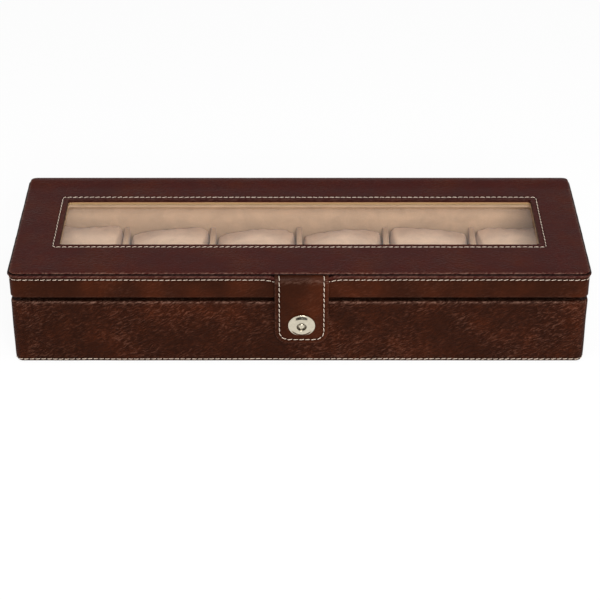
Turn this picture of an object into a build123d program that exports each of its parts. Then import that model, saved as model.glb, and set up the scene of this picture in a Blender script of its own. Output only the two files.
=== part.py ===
from build123d import *
import math
import os

# A long watch box in stitched dark leather: six cushions in a row of slots, a hinged lid
# with a clear window, and a leather tab that a magnetic snap holds to the front.
# Millimetres, X to the right, Y to the back, Z up, from the centre of the underside.

# Outside of the closed box
case_width = 330.4
case_depth = 112.4
base_height = 42.0
lid_gap = 2.4
lid_height = 16.6
corner_radius = 4.5
bottom_edge_radius = 2.8
rim_edge_radius = 0.9
leather = 1.2
underside_turn_in = 8.0

# Boards and lining of the base
wall_board = 4.0
bottom_board = 3.0
liner = 1.5
liner_lip = 5.9
divider_count = 5
divider_thickness = 3.5
divider_height = 23.8

# Lid
lid_wall_board = 3.0
lid_top_board = 2.2
lid_lining = 0.5
top_panel_inset = 0.3
top_panel_edge_radius = 0.7
bead_height = 2.0
bead_overhang = 0.8
bead_edge_radius = 0.95

# Window
window_width = 278.8
window_depth = 52.3
window_shift_back = 1.95
window_corner = 1.5
window_binding = 0.6
pane_thickness = 1.2
pane_overlap = 4.0
lining_frame_lip = 1.4
lining_frame_set_back = 1.3

# Butt hinges at the back
hinge_end_margin = 60.2
hinge_axis_out = 2.5
leaf_width = 24.0
leaf_height = 10.0
leaf_thickness = 1.0
barrel_radius = 2.2
knuckle_count = 5
knuckle_gap = 0.1
pin_radius = 1.0
pin_clearance = 0.05
pin_head_radius = 1.7
pin_head_length = 0.6
barrel_clearance = 0.2
stop_radius = 2.9
stop_angle = 100.0
stop_width_angle = 18.0
stop_clearance = 0.05
screw_radius = 0.9
screw_head_radius = 1.6
screw_head_depth = 0.7
screw_length = 4.8
screw_tip = 1.0
screw_slot = 0.3
screw_spread = 7.0
screw_drop = 6.2
fastener_clearance = 0.02

# Tab
tab_width = 30.8
tab_shift = 1.3
tab_length = 46.0
tab_outer = 1.3
tab_back = 1.0
tab_wall_gap = 0.4
tab_corner = 8.0
tab_bend_radius = 1.95
tab_root_out = 1.2
tab_root_drop = 0.7
tab_back_end_gap = 0.8

# Magnetic snap
snap_above_tab_end = 12.7
cap_radius = 7.7
cap_height = 1.5
cap_edge = 0.5
cap_floor = 0.4
cap_recess_radius = 2.8
rivet_radius = 1.0
rivet_head_radius = 1.75
rivet_head_height = 0.9
cup_radius = 6.0
cup_recess_depth = 0.6
cup_skin = 0.4
magnet_inner_radius = 3.2
magnet_outer_radius = 5.4
striker_radius = 6.5
striker_thickness = 0.8
striker_pip_radius = 2.0
striker_pip_height = 0.6
striker_post_radius = 1.2
washer_radius = 3.5
washer_thickness = 0.5

# Cushions
cushion_side_gap = 0.95
cushion_end_gap = 2.0
cushion_floor_gap = 0.3
cushion_height = 27.0
cushion_corner = 6.0
cushion_draw_in = 1.2

# Levels that follow from the sizes above
lid_bottom = base_height + lid_gap
lid_top = lid_bottom + lid_height
panel_bottom = lid_top - leather
bead_bottom = panel_bottom - bead_height
top_board_bottom = panel_bottom - lid_top_board
pane_bottom = top_board_bottom - pane_thickness
lining_frame_bottom = pane_bottom - lining_frame_lip
bottom_board_top = leather + bottom_board
floor_top = bottom_board_top + liner
liner_top = base_height + liner_lip

# Half sizes that follow, from the centre to each layer of the walls
board_x = case_width / 2 - leather
board_y = case_depth / 2 - leather
liner_x = board_x - wall_board
liner_y = board_y - wall_board
room_x = liner_x - liner
room_y = liner_y - liner
lid_room_x = board_x - lid_wall_board
lid_room_y = board_y - lid_wall_board
slot_width = (2 * room_x - divider_count * divider_thickness) / (divider_count + 1)
slot_pitch = slot_width + divider_thickness

# Hinge axis, and the tab's root, face and snap
hinge_offset = case_width / 2 - hinge_end_margin
hinge_y = case_depth / 2 + hinge_axis_out
hinge_z = base_height + lid_gap / 2
knuckle_pitch = leaf_width / knuckle_count
tab_inner_face = -case_depth / 2 - tab_wall_gap
tab_joint_face = tab_inner_face - tab_back
tab_outer_face = tab_joint_face - tab_outer
tab_root_y = -case_depth / 2 + top_panel_inset - tab_root_out
tab_root_z = lid_top - tab_root_drop
tab_end_z = lid_top - tab_length
snap_z = tab_end_z + snap_above_tab_end


def slab(x_low, x_high, y_low, y_high, z_low, z_high):
    """Square block between two corners."""
    block = Box(x_high - x_low, y_high - y_low, z_high - z_low)
    return Pos((x_low + x_high) / 2, (y_low + y_high) / 2, (z_low + z_high) / 2) * block


def rounded_block(half_x, half_y, z_low, z_high, radius, shift_back=0.0):
    """Upright block with rounded corners, centred on the Z axis or behind it."""
    outline = Pos(0, shift_back, z_low) * RectangleRounded(2 * half_x, 2 * half_y, radius)
    return extrude(outline, z_high - z_low)


def window_block(margin, z_low, z_high):
    """Block through the window, its outline let out by a margin."""
    return rounded_block(
        window_width / 2 + margin,
        window_depth / 2 + margin,
        z_low,
        z_high,
        window_corner + margin,
        window_shift_back,
    )


def round_bottom(block, radius):
    """Round the edges of a block's lowest face."""
    return fillet(block.faces().sort_by(Axis.Z)[0].edges(), radius)


def round_top(block, radius):
    """Round the outer edges of a block's highest face."""
    return fillet(block.faces().sort_by(Axis.Z)[-1].outer_wire().edges(), radius)


def turned(points, x, y, z, facing=-1):
    """Turn an outline of radius and height about Y, with its height facing front or back."""
    outline = make_face(Polyline(*points, close=True))
    solid = revolve(outline, Axis.Y)
    turn = Rot(0, 0, 180) if facing < 0 else Rot(0, 0, 0)
    return Pos(x, y, z) * turn * solid


def save(name, shape):
    """Write one node."""
    export_step(shape, f"parts/{name}.step")


def arc_points(radius_start, radius_end, height_start, height_end, steps=6):
    """Points down a quarter ellipse from a crown to a rim, crown first."""
    points = []
    for step in range(steps + 1):
        angle = math.pi / 2 * step / steps
        radius = radius_start + (radius_end - radius_start) * math.sin(angle)
        height = height_end + (height_start - height_end) * math.cos(angle)
        points.append((radius, height))
    return points


# Screws of the hinges
def hinge_screw(clearance=0.0):
    """Countersunk screw with its head at the origin and its shank along -Y."""
    shank = screw_radius + clearance
    head = screw_head_radius + clearance
    points = [
        (0, clearance),
        (head, clearance),
        (shank, -screw_head_depth),
        (shank, screw_tip - screw_length),
        (0, -screw_length - clearance),
    ]
    return turned(points, 0, 0, 0, facing=1)


def screw_places(side):
    """Places of the screw heads of both hinges, below the axis for the base and above it for the lid."""
    face = case_depth / 2 + leaf_thickness
    height = hinge_z + side * screw_drop
    return [
        Pos(hinge_x + spread, face, height)
        for hinge_x in (-hinge_offset, hinge_offset)
        for spread in (-screw_spread, screw_spread)
    ]


def screw_holes(side):
    """Cutters of all four screw holes on one side of the hinge axis."""
    hole = hinge_screw(fastener_clearance)
    return [place * hole for place in screw_places(side)]


def hinge_screws(side):
    """Four slotted screws as one group."""
    slot = slab(
        -screw_head_radius,
        screw_head_radius,
        -screw_slot,
        screw_slot,
        -screw_slot / 2,
        screw_slot / 2,
    )
    screw = hinge_screw() - slot
    return Compound([place * screw for place in screw_places(side)])


# Base
def base_core():
    """Everything inside the leather of the base."""
    core = rounded_block(
        board_x, board_y, leather, base_height - leather, corner_radius - leather
    )
    return round_bottom(core, bottom_edge_radius - leather)


def striker_cut(clearance=0.0):
    """Space of the striker plate and its post, from the leather's face into the front wall."""
    face = -case_depth / 2
    plate = striker_radius + clearance
    post = striker_post_radius + clearance
    depth = leather + wall_board
    points = [
        (0, 0),
        (plate, 0),
        (plate, -striker_thickness),
        (post, -striker_thickness),
        (post, -depth),
        (0, -depth),
    ]
    return turned(points, tab_shift, face, snap_z)


def washer_disc(clearance=0.0):
    """Disc against the inner face of the front board, behind the striker."""
    radius = washer_radius + clearance
    points = [(0, 0), (radius, 0), (radius, washer_thickness), (0, washer_thickness)]
    return turned(points, tab_shift, -liner_y, snap_z)


def base_bottom():
    """Bottom board, rounded below like the leather round it."""
    return base_core() & slab(-board_x, board_x, -board_y, board_y, leather, bottom_board_top)


def base_wall(x_low, x_high, y_low, y_high):
    """One wall board, standing on the bottom board."""
    blank = slab(x_low, x_high, y_low, y_high, bottom_board_top, base_height - leather)
    return base_core() & blank


def base_band():
    """Leather round the walls, turned over the rim and under the bottom."""
    outer = rounded_block(case_width / 2, case_depth / 2, 0, base_height, corner_radius)
    outer = round_bottom(outer, bottom_edge_radius)
    outer = round_top(outer, rim_edge_radius)
    mouth = slab(-liner_x, liner_x, -liner_y, liner_y, leather, base_height)
    return outer - base_core() - mouth - underside_block() - striker_cut() - screw_holes(-1)


def underside_block():
    """Leather sheet of the underside, inside the turned edge."""
    return rounded_block(
        case_width / 2 - underside_turn_in,
        case_depth / 2 - underside_turn_in,
        0,
        leather,
        corner_radius,
    )


def make_base_boards():
    save("base_bottom_board", base_bottom())
    front = base_wall(-liner_x, liner_x, -board_y, -liner_y)
    save("base_front_board", front - striker_cut() - washer_disc())
    back = base_wall(-liner_x, liner_x, liner_y, board_y)
    save("base_back_board", back - screw_holes(-1))
    save("base_left_board", base_wall(-board_x, -liner_x, -board_y, board_y))
    save("base_right_board", base_wall(liner_x, board_x, -board_y, board_y))


def make_base_leather():
    save("base_leather_band", base_band())
    save("base_leather_underside", underside_block())


def make_base_lining():
    """Suede covered cards: a floor, and four walls that rise past the rim into the lid."""
    save("liner_floor", slab(-liner_x, liner_x, -liner_y, liner_y, bottom_board_top, floor_top))
    save("liner_front", slab(-room_x, room_x, -liner_y, -room_y, floor_top, liner_top))
    save("liner_back", slab(-room_x, room_x, room_y, liner_y, floor_top, liner_top))
    save("liner_left", slab(-liner_x, -room_x, -liner_y, liner_y, floor_top, liner_top))
    save("liner_right", slab(room_x, liner_x, -liner_y, liner_y, floor_top, liner_top))


def make_dividers():
    for number in range(divider_count):
        centre = (number - (divider_count - 1) / 2) * slot_pitch
        divider = slab(
            centre - divider_thickness / 2,
            centre + divider_thickness / 2,
            -room_y,
            room_y,
            floor_top,
            floor_top + divider_height,
        )
        save(f"divider_{number + 1}", divider)


def make_striker():
    """Steel plate let into the front leather, with a low round pip and a riveted post."""
    dome = arc_points(0, striker_pip_radius, striker_pip_height, 0)
    points = dome + [
        (striker_radius, 0),
        (striker_radius, -striker_thickness),
        (striker_post_radius, -striker_thickness),
        (striker_post_radius, -leather - wall_board),
        (0, -leather - wall_board),
    ]
    plate = turned(points, tab_shift, -case_depth / 2, snap_z)
    save("snap_striker_plate", plate)
    hole = striker_cut(fastener_clearance)
    save("snap_striker_washer", washer_disc() - hole)


# Hinges
def knuckle(hinge_x, number):
    """One knuckle of a barrel, with its web to the leaf plate still to come."""
    centre = hinge_x + (number - (knuckle_count - 1) / 2) * knuckle_pitch
    length = knuckle_pitch - knuckle_gap
    return Pos(centre, hinge_y, hinge_z) * Rot(0, 90, 0) * Cylinder(barrel_radius, length)


def knuckle_span(hinge_x, number):
    """Ends of one knuckle along the barrel."""
    centre = hinge_x + (number - (knuckle_count - 1) / 2) * knuckle_pitch
    half = (knuckle_pitch - knuckle_gap) / 2
    return centre - half, centre + half


def pin_bore(hinge_x):
    """Bore through a whole barrel."""
    bore = Cylinder(pin_radius + pin_clearance, leaf_width)
    return Pos(hinge_x, hinge_y, hinge_z) * Rot(0, 90, 0) * bore


def hinge_leaf(hinge_x, side, numbers):
    """Leaf plate on the back face with its knuckles: side is -1 below the axis and 1 above it."""
    face = case_depth / 2
    near = hinge_z + side * (barrel_radius + barrel_clearance)
    far = hinge_z + side * leaf_height
    leaf = slab(
        hinge_x - leaf_width / 2,
        hinge_x + leaf_width / 2,
        face,
        face + leaf_thickness,
        min(near, far),
        max(near, far),
    )
    for number in numbers:
        left, right = knuckle_span(hinge_x, number)
        web = slab(
            left, right, face, face + leaf_thickness, min(hinge_z, near), max(hinge_z, near)
        )
        leaf = leaf + web + knuckle(hinge_x, number)
    return leaf


def stop_finger(hinge_x):
    """Finger of the base leaf that reaches under the lid's first knuckle."""
    left, right = knuckle_span(hinge_x, 1)
    return slab(
        left,
        right,
        case_depth / 2,
        hinge_y - stop_clearance,
        hinge_z - stop_radius - barrel_clearance,
        hinge_z - barrel_radius - barrel_clearance,
    )


def stop_nib(hinge_x):
    """Nib of the lid's first knuckle that meets the finger when the lid stands open."""
    left, right = knuckle_span(hinge_x, 1)
    start = math.radians(stop_angle - 90.0)
    end = start + math.radians(stop_width_angle)
    inner = (barrel_radius + pin_radius) / 2
    corners = [
        (radius * math.cos(angle), radius * math.sin(angle))
        for radius, angle in (
            (inner, start),
            (stop_radius, start),
            (stop_radius, end),
            (inner, end),
        )
    ]
    outline = make_face(Polyline(*corners, close=True))
    nib = extrude(Plane.YZ * outline, right - left)
    return Pos(left, hinge_y, hinge_z) * nib


def hinge_pin(hinge_x):
    """Pin through a barrel, headed at both ends."""
    pin = Cylinder(pin_radius, leaf_width)
    head = Cylinder(pin_head_radius, pin_head_length)
    reach = (leaf_width + pin_head_length) / 2
    pin = pin + Pos(0, 0, reach) * head + Pos(0, 0, -reach) * head
    return Pos(hinge_x, hinge_y, hinge_z) * Rot(0, 90, 0) * pin


def make_hinges():
    base_numbers = range(0, knuckle_count, 2)
    lid_numbers = range(1, knuckle_count, 2)
    for name, hinge_x in (("left", -hinge_offset), ("right", hinge_offset)):
        base_leaf = hinge_leaf(hinge_x, -1, base_numbers) + stop_finger(hinge_x)
        base_leaf = base_leaf - pin_bore(hinge_x) - screw_holes(-1)
        lid_leaf = hinge_leaf(hinge_x, 1, lid_numbers) + stop_nib(hinge_x)
        lid_leaf = lid_leaf - pin_bore(hinge_x) - screw_holes(1)
        save(f"hinge_{name}_base_leaf", base_leaf)
        save(f"hinge_{name}_lid_leaf", lid_leaf)
        save(f"hinge_{name}_pin", hinge_pin(hinge_x))
    save("base_hinge_screws", hinge_screws(-1))
    save("lid_hinge_screws", hinge_screws(1))


# Lid
def lid_core():
    """Everything inside the leather of the lid."""
    return rounded_block(
        board_x, board_y, lid_bottom + leather, panel_bottom, corner_radius - leather
    )


def lid_wall(x_low, x_high, y_low, y_high):
    """One wall board, hanging from the top board."""
    blank = slab(x_low, x_high, y_low, y_high, lid_bottom + leather, top_board_bottom)
    return lid_core() & blank


def make_lid_boards():
    top = lid_core() & slab(-board_x, board_x, -board_y, board_y, top_board_bottom, panel_bottom)
    save("lid_top_board", top - window_block(window_binding, top_board_bottom, panel_bottom))
    save("lid_front_board", lid_wall(-lid_room_x, lid_room_x, -board_y, -lid_room_y))
    back = lid_wall(-lid_room_x, lid_room_x, lid_room_y, board_y)
    save("lid_back_board", back - screw_holes(1))
    save("lid_left_board", lid_wall(-board_x, -lid_room_x, -board_y, board_y))
    save("lid_right_board", lid_wall(lid_room_x, board_x, -board_y, board_y))


def make_lid_leather():
    """Top panel with the window cut out, band round the walls, and the bead between them."""
    panel = rounded_block(
        case_width / 2 - top_panel_inset,
        case_depth / 2 - top_panel_inset,
        panel_bottom,
        lid_top,
        corner_radius - top_panel_inset,
    )
    panel = round_top(panel, top_panel_edge_radius)
    save("lid_leather_top", panel - window_block(0, panel_bottom, lid_top))

    band = rounded_block(case_width / 2, case_depth / 2, lid_bottom, bead_bottom, corner_radius)
    band = round_bottom(band, rim_edge_radius)
    mouth = slab(-lid_room_x, lid_room_x, -lid_room_y, lid_room_y, lid_bottom, lid_top)
    save("lid_leather_band", band - lid_core() - mouth - screw_holes(1))

    bead = rounded_block(
        case_width / 2 + bead_overhang,
        case_depth / 2 + bead_overhang,
        bead_bottom,
        panel_bottom,
        corner_radius + bead_overhang,
    )
    bead = round_bottom(round_top(bead, bead_edge_radius), bead_edge_radius)
    save("lid_rim_bead", bead - lid_core())


def make_window():
    """Clear pane under the top board, and the strip that edges the board's opening."""
    save("window_pane", window_block(pane_overlap, pane_bottom, top_board_bottom))
    strip = window_block(window_binding, top_board_bottom, panel_bottom)
    save("window_binding", strip - window_block(0, top_board_bottom, panel_bottom))


def make_lid_lining():
    """Suede covered frame that holds the pane from below, and the lining of the lid's walls."""
    frame = slab(
        -lid_room_x, lid_room_x, -lid_room_y, lid_room_y, lining_frame_bottom, top_board_bottom
    )
    frame = frame - window_block(pane_overlap, pane_bottom, top_board_bottom)
    opening = window_block(lining_frame_set_back, lining_frame_bottom, pane_bottom)
    save("lid_lining_frame", frame - opening)

    inner_x = lid_room_x - lid_lining
    inner_y = lid_room_y - lid_lining
    lining = slab(
        -lid_room_x, lid_room_x, -lid_room_y, lid_room_y, lid_bottom, lining_frame_bottom
    )
    room = slab(-inner_x, inner_x, -inner_y, inner_y, lid_bottom, lining_frame_bottom)
    save("lid_side_lining", lining - room)


# Tab and snap
def tab_profile():
    """Side view of the outer leather: a root that turns in place, a bend and a straight fall."""
    middle = (tab_joint_face + tab_outer_face) / 2
    centre_y = middle + tab_bend_radius
    rise = math.sqrt(tab_bend_radius**2 - (tab_root_y - centre_y) ** 2)
    centre_z = tab_root_z - rise
    root_angle = math.atan2(rise, tab_root_y - centre_y)

    def on_bend(radius, angle):
        return (centre_y + radius * math.cos(angle), centre_z + radius * math.sin(angle))

    outer = tab_bend_radius + tab_outer / 2
    inner = tab_bend_radius - tab_outer / 2
    half_way = (math.pi + root_angle) / 2
    root_end = (
        tab_root_y + tab_outer / 2 * math.sin(root_angle),
        tab_root_z - tab_outer / 2 * math.cos(root_angle),
    )
    edges = [
        Line((tab_outer_face, tab_end_z), on_bend(outer, math.pi)),
        ThreePointArc(
            on_bend(outer, math.pi), on_bend(outer, half_way), on_bend(outer, root_angle)
        ),
        ThreePointArc(on_bend(outer, root_angle), root_end, on_bend(inner, root_angle)),
        ThreePointArc(
            on_bend(inner, root_angle), on_bend(inner, half_way), on_bend(inner, math.pi)
        ),
        Line(on_bend(inner, math.pi), (tab_joint_face, tab_end_z)),
        Line((tab_joint_face, tab_end_z), (tab_outer_face, tab_end_z)),
    ]
    return make_face(edges)


def round_tab_end(strap):
    """Round the two lower corners of a hanging strap."""
    return fillet(strap.edges().filter_by(Axis.Y).group_by(Axis.Z)[0], tab_corner)


def make_tab():
    strap = extrude(Plane.YZ * tab_profile(), tab_width / 2, both=True)
    strap = round_tab_end(Pos(tab_shift, 0, 0) * strap)
    shank = [
        (0, -tab_outer),
        (rivet_radius + fastener_clearance, -tab_outer),
        (rivet_radius + fastener_clearance, 0),
        (0, 0),
    ]
    save("tab_outer_leather", strap - turned(shank, tab_shift, tab_outer_face, snap_z))

    backing = slab(
        tab_shift - tab_width / 2,
        tab_shift + tab_width / 2,
        tab_joint_face,
        tab_inner_face,
        tab_end_z,
        bead_bottom - tab_back_end_gap,
    )
    backing = round_tab_end(backing)
    seat = [(0, 0), (cup_radius, 0), (cup_radius, tab_back), (0, tab_back)]
    save("tab_back_leather", backing - turned(seat, tab_shift, tab_inner_face, snap_z))


def make_snap():
    """Domed ring cap and rivet outside, and a magnet in its cup inside the tab."""
    hole = rivet_radius + fastener_clearance
    crown = (cap_recess_radius + cap_radius) / 2
    falling = arc_points(crown, cap_radius, cap_height, cap_edge)
    rising = [(cap_recess_radius, cap_floor), (cap_recess_radius, cap_height - cap_floor / 2)]
    cap = [(hole, 0), (hole, cap_floor)] + rising + falling + [(cap_radius, 0)]
    save("snap_cap", turned(cap, tab_shift, tab_outer_face, snap_z))

    shank_end = -tab_outer - tab_back + cup_recess_depth
    head_top = cap_floor + rivet_head_height
    rivet = arc_points(0, rivet_head_radius, head_top, cap_floor)
    rivet = rivet + [(rivet_radius, cap_floor), (rivet_radius, shank_end), (0, shank_end)]
    save("snap_rivet", turned(rivet, tab_shift, tab_outer_face, snap_z))

    cup = [
        (hole, cup_recess_depth),
        (cap_recess_radius, cup_recess_depth),
        (cap_recess_radius, 0),
        (cup_radius, 0),
        (cup_radius, tab_back),
        (magnet_outer_radius, tab_back),
        (magnet_outer_radius, cup_skin),
        (magnet_inner_radius, cup_skin),
        (magnet_inner_radius, tab_back),
        (hole, tab_back),
    ]
    save("snap_magnet_cup", turned(cup, tab_shift, tab_inner_face, snap_z))
    magnet = [
        (magnet_inner_radius, cup_skin),
        (magnet_outer_radius, cup_skin),
        (magnet_outer_radius, tab_back),
        (magnet_inner_radius, tab_back),
    ]
    save("snap_magnet", turned(magnet, tab_shift, tab_inner_face, snap_z))


# Cushions
def cushion_outline(half_x, half_y, corner, draw_in):
    """Level outline of a cushion: round corners, and sides that pull in between them."""
    slant = corner * (1 - math.sqrt(0.5))
    sides = [
        ((half_x, corner - half_y), (half_x - draw_in, 0), (half_x, half_y - corner)),
        ((half_x - corner, half_y), (0, half_y - draw_in), (corner - half_x, half_y)),
        ((-half_x, half_y - corner), (draw_in - half_x, 0), (-half_x, corner - half_y)),
        ((corner - half_x, -half_y), (0, draw_in - half_y), (half_x - corner, -half_y)),
    ]
    middles = [
        (half_x - slant, half_y - slant),
        (slant - half_x, half_y - slant),
        (slant - half_x, slant - half_y),
        (half_x - slant, slant - half_y),
    ]
    edges = []
    for number, side in enumerate(sides):
        following = sides[(number + 1) % len(sides)]
        edges.append(ThreePointArc(*side))
        edges.append(ThreePointArc(side[2], middles[number], following[0]))
    return make_face(edges)


def cushion():
    """Crowned cushion at the origin, standing on its underside."""
    half_x = slot_width / 2 - cushion_side_gap
    half_y = room_y - cushion_end_gap
    levels = ((0.0, 4.0), (0.16, 1.0), (0.42, 0.0), (0.76, 0.5), (0.93, 2.4), (1.0, 7.0))
    outlines = []
    for share, inset in levels:
        outline = cushion_outline(
            half_x - inset, half_y - inset, cushion_corner, cushion_draw_in
        )
        outlines.append(Pos(0, 0, share * cushion_height) * outline)
    return loft(outlines)


def make_cushions():
    blank = cushion()
    for number in range(divider_count + 1):
        centre = (number - divider_count / 2) * slot_pitch
        pillow = Pos(centre, 0, floor_top + cushion_floor_gap) * blank
        save(f"pillow_{number + 1}", pillow)


os.makedirs("parts", exist_ok=True)
make_base_boards()
make_base_leather()
make_base_lining()
make_dividers()
make_striker()
make_hinges()
make_lid_boards()
make_lid_leather()
make_window()
make_lid_lining()
make_tab()
make_snap()
make_cushions()
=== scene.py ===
"""Dresses the frame of a watch box: stitched leather, suede cushions, a snap and a stage."""

import math

import bmesh
import bpy
import numpy as np
from bpy.props import FloatProperty, FloatVectorProperty, IntProperty, PointerProperty
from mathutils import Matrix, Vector


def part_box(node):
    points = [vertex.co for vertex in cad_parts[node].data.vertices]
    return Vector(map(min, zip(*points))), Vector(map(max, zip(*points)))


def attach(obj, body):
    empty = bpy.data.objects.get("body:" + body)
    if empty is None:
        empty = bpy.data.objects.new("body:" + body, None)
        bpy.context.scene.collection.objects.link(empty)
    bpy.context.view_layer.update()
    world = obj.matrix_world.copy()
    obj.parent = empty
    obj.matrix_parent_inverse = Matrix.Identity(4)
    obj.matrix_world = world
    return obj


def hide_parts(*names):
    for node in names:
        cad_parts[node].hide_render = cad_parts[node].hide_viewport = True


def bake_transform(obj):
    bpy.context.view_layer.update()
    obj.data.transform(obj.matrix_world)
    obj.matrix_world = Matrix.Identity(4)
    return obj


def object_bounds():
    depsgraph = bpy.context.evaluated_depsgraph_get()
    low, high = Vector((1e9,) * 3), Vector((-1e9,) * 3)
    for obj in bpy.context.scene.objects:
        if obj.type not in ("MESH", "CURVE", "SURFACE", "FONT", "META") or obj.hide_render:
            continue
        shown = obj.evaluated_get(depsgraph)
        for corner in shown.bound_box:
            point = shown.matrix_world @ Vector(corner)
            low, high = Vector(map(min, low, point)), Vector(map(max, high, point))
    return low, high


bl_info = {
    "name": "Watch Box",
    "version": (1, 0, 0),
    "blender": (4, 5, 0),
    "location": "View3D > Sidebar > Watch Box",
    "description": "Covers a watch box frame in stitched leather and fills it with suede cushions",
    "category": "Object",
}

MM = 0.001
TINY = 1e-12

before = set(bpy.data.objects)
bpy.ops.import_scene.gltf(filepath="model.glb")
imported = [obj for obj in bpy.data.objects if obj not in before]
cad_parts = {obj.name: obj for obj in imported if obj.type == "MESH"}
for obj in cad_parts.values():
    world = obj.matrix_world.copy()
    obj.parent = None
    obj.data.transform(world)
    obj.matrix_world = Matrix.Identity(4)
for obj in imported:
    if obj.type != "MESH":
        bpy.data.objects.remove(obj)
CAD_LOW, CAD_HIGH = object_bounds()

# Sizes read from the frame, in metres
BAND_LOW, BAND_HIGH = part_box("lid_leather_band")
BEAD_LOW, BEAD_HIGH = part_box("lid_rim_bead")
PANEL_LOW, PANEL_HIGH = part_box("lid_leather_top")
BASE_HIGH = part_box("base_leather_band")[1]
SHEET_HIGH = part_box("base_leather_underside")[1]
BINDING_LOW, BINDING_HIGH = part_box("window_binding")
SIDES_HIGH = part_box("lid_side_lining")[1]
LINER_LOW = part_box("liner_left")[0]
STRAP_LOW, STRAP_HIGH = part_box("tab_outer_leather")
BACKING_LOW, BACKING_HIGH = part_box("tab_back_leather")
CAP_LOW, CAP_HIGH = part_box("snap_cap")
RIVET_LOW, RIVET_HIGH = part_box("snap_rivet")
PLATE_LOW, PLATE_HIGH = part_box("snap_striker_plate")
CUP_LOW, CUP_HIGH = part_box("snap_magnet_cup")

# Corners and thicknesses that the frame's boxes don't give
CORNER = 4.5 * MM
LEAST_CORNER = 0.6 * MM
LEATHER = 1.2 * MM
BASE_EDGE = 2.8 * MM
BASE_RIM = 1.4 * MM
LID_RIM = 0.9 * MM
PANEL_EDGE = 0.65 * MM
WINDOW_CORNER = 2.3 * MM
BINDING = 0.6 * MM
HEM_EDGE = 0.55 * MM
TAB_CORNER = 8.0 * MM
TAB_BOW = 1.0 * MM
SNAP_TILT = math.radians(8.5)

# Window opening inside its binding
WINDOW_X = (BINDING_HIGH.x - BINDING_LOW.x) / 2 - BINDING
WINDOW_Y = (BINDING_HIGH.y - BINDING_LOW.y) / 2 - BINDING
WINDOW_SHIFT = (BINDING_HIGH.y + BINDING_LOW.y) / 2

# Tab: its leather runs level out of the groove, bends down and hangs, bowed above the snap
TAB_X = (STRAP_LOW.x + STRAP_HIGH.x) / 2
TAB_HALF = (STRAP_HIGH.x - STRAP_LOW.x) / 2
TAB_FACE = STRAP_LOW.y
TAB_JOINT = BACKING_LOW.y
TAB_END = STRAP_LOW.z
TAB_MIDDLE = (TAB_FACE + TAB_JOINT) / 2
TAB_BEND = 1.95 * MM
TAB_RUN = 1.2 * MM
TAB_TOP = PANEL_LOW.z - 0.4 * MM
TAB_LEVEL = TAB_TOP - (TAB_JOINT - TAB_FACE) / 2
TAB_HANG = TAB_RUN + TAB_BEND * math.pi / 2
TAB_LENGTH = TAB_HANG + TAB_LEVEL - TAB_BEND - TAB_END
TAB_BOW_LENGTH = TAB_TOP - TAB_BEND - (CAP_LOW.z + CAP_HIGH.z) / 2

# Snap's cap, from its outer edge to its hole, and the knob of its rivet, as shares of their
# radius and height
CAP_SHARES = np.array(
    [(0.92, 0.0), (0.985, 0.08), (1.0, 0.2), (0.975, 0.26), (0.92, 0.36), (0.82, 0.65)]
    + [(0.72, 0.94), (0.66, 1.0), (0.54, 0.97), (0.45, 0.96), (0.41, 1.04), (0.37, 0.98)]
    + [(0.355, 0.6), (0.34, 0.28), (0.28, 0.22), (0.14, 0.2), (0.13, 0.0)]
)
CAP_GROOVE = 0.31
KNOB_SHARES = np.array(
    [(0.5, 0.0), (0.52, 0.4), (0.9, 0.34), (1.0, 0.5), (0.86, 0.8)]
    + [(0.6, 0.94), (0.3, 1.0), (0.1, 0.96), (0.0, 0.95), (0.0, 0.0)]
)

# How the lid's front gives way to the strap that passes over it
DIP_REACH = 8.0 * MM
BEAD_DIP = 1.7 * MM

# Padding under the lid's top: how far it swells towards the back, and how far it falls off at
# the back edge and at the others
PUFF = 1.1 * MM
BACK_ROLL = 1.05 * MM
EDGE_ROLL = 0.18 * MM

# Cushions: their seam's height as a share of theirs, and its depth, then the number and depth of
# the ripples beside it, the depth of the gathers, and how far the tops rise
SEAM_SHARE = 0.42
SEAM_DEPTH = 0.75 * MM
RIPPLES = 46
RIPPLE_DEPTH = 0.22 * MM
GATHER_DEPTH = 0.35 * MM
CROWN_RISE = 1.8 * MM

# Steps round the case's rings: along the front, along a side and in a corner
LONG_STEPS = 392
SHORT_STEPS = 132
TURN_STEPS = 10
FRONT_MIDDLE = LONG_STEPS // 2

CUSHIONS = [f"pillow_{number}" for number in range(1, 7)]

# Camera that fits the box's edges in the photograph, in metres and degrees
CAMERA_PLACE = (0.00036, -0.951606, 0.615872)
CAMERA_DOWN = 32.6074

# Lamps: their sizes, their places and what they face, in metres
TOP_LAMP = ((1.4, 0.7), (0.02, -0.35, 1.35), (0, 0, 0.05))
FRONT_LAMP = ((0.9, 0.7), (0.22, -1.5, 0.9), (0, 0, 0.03))

# Floor: half its side in metres, and how much of it is plain white to the camera
FLOOR_SIDE = 4.0
FLOOR_WHITE = 0.9

# Dark card: half its width, its place and its edges' heights, in metres
CARD_HALF = 1.1
CARD_PLACE = -1.75
CARD_LOW = 0.05
CARD_HIGH = 0.55


def linear(code):
    """Linear colour of an sRGB hex code: the power curve above a short straight start."""
    shares = [int(code[place : place + 2], 16) / 255 for place in (0, 2, 4)]
    return tuple(
        share / 12.92 if share <= 0.04045 else ((share + 0.055) / 1.055) ** 2.4
        for share in shares
    )


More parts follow.
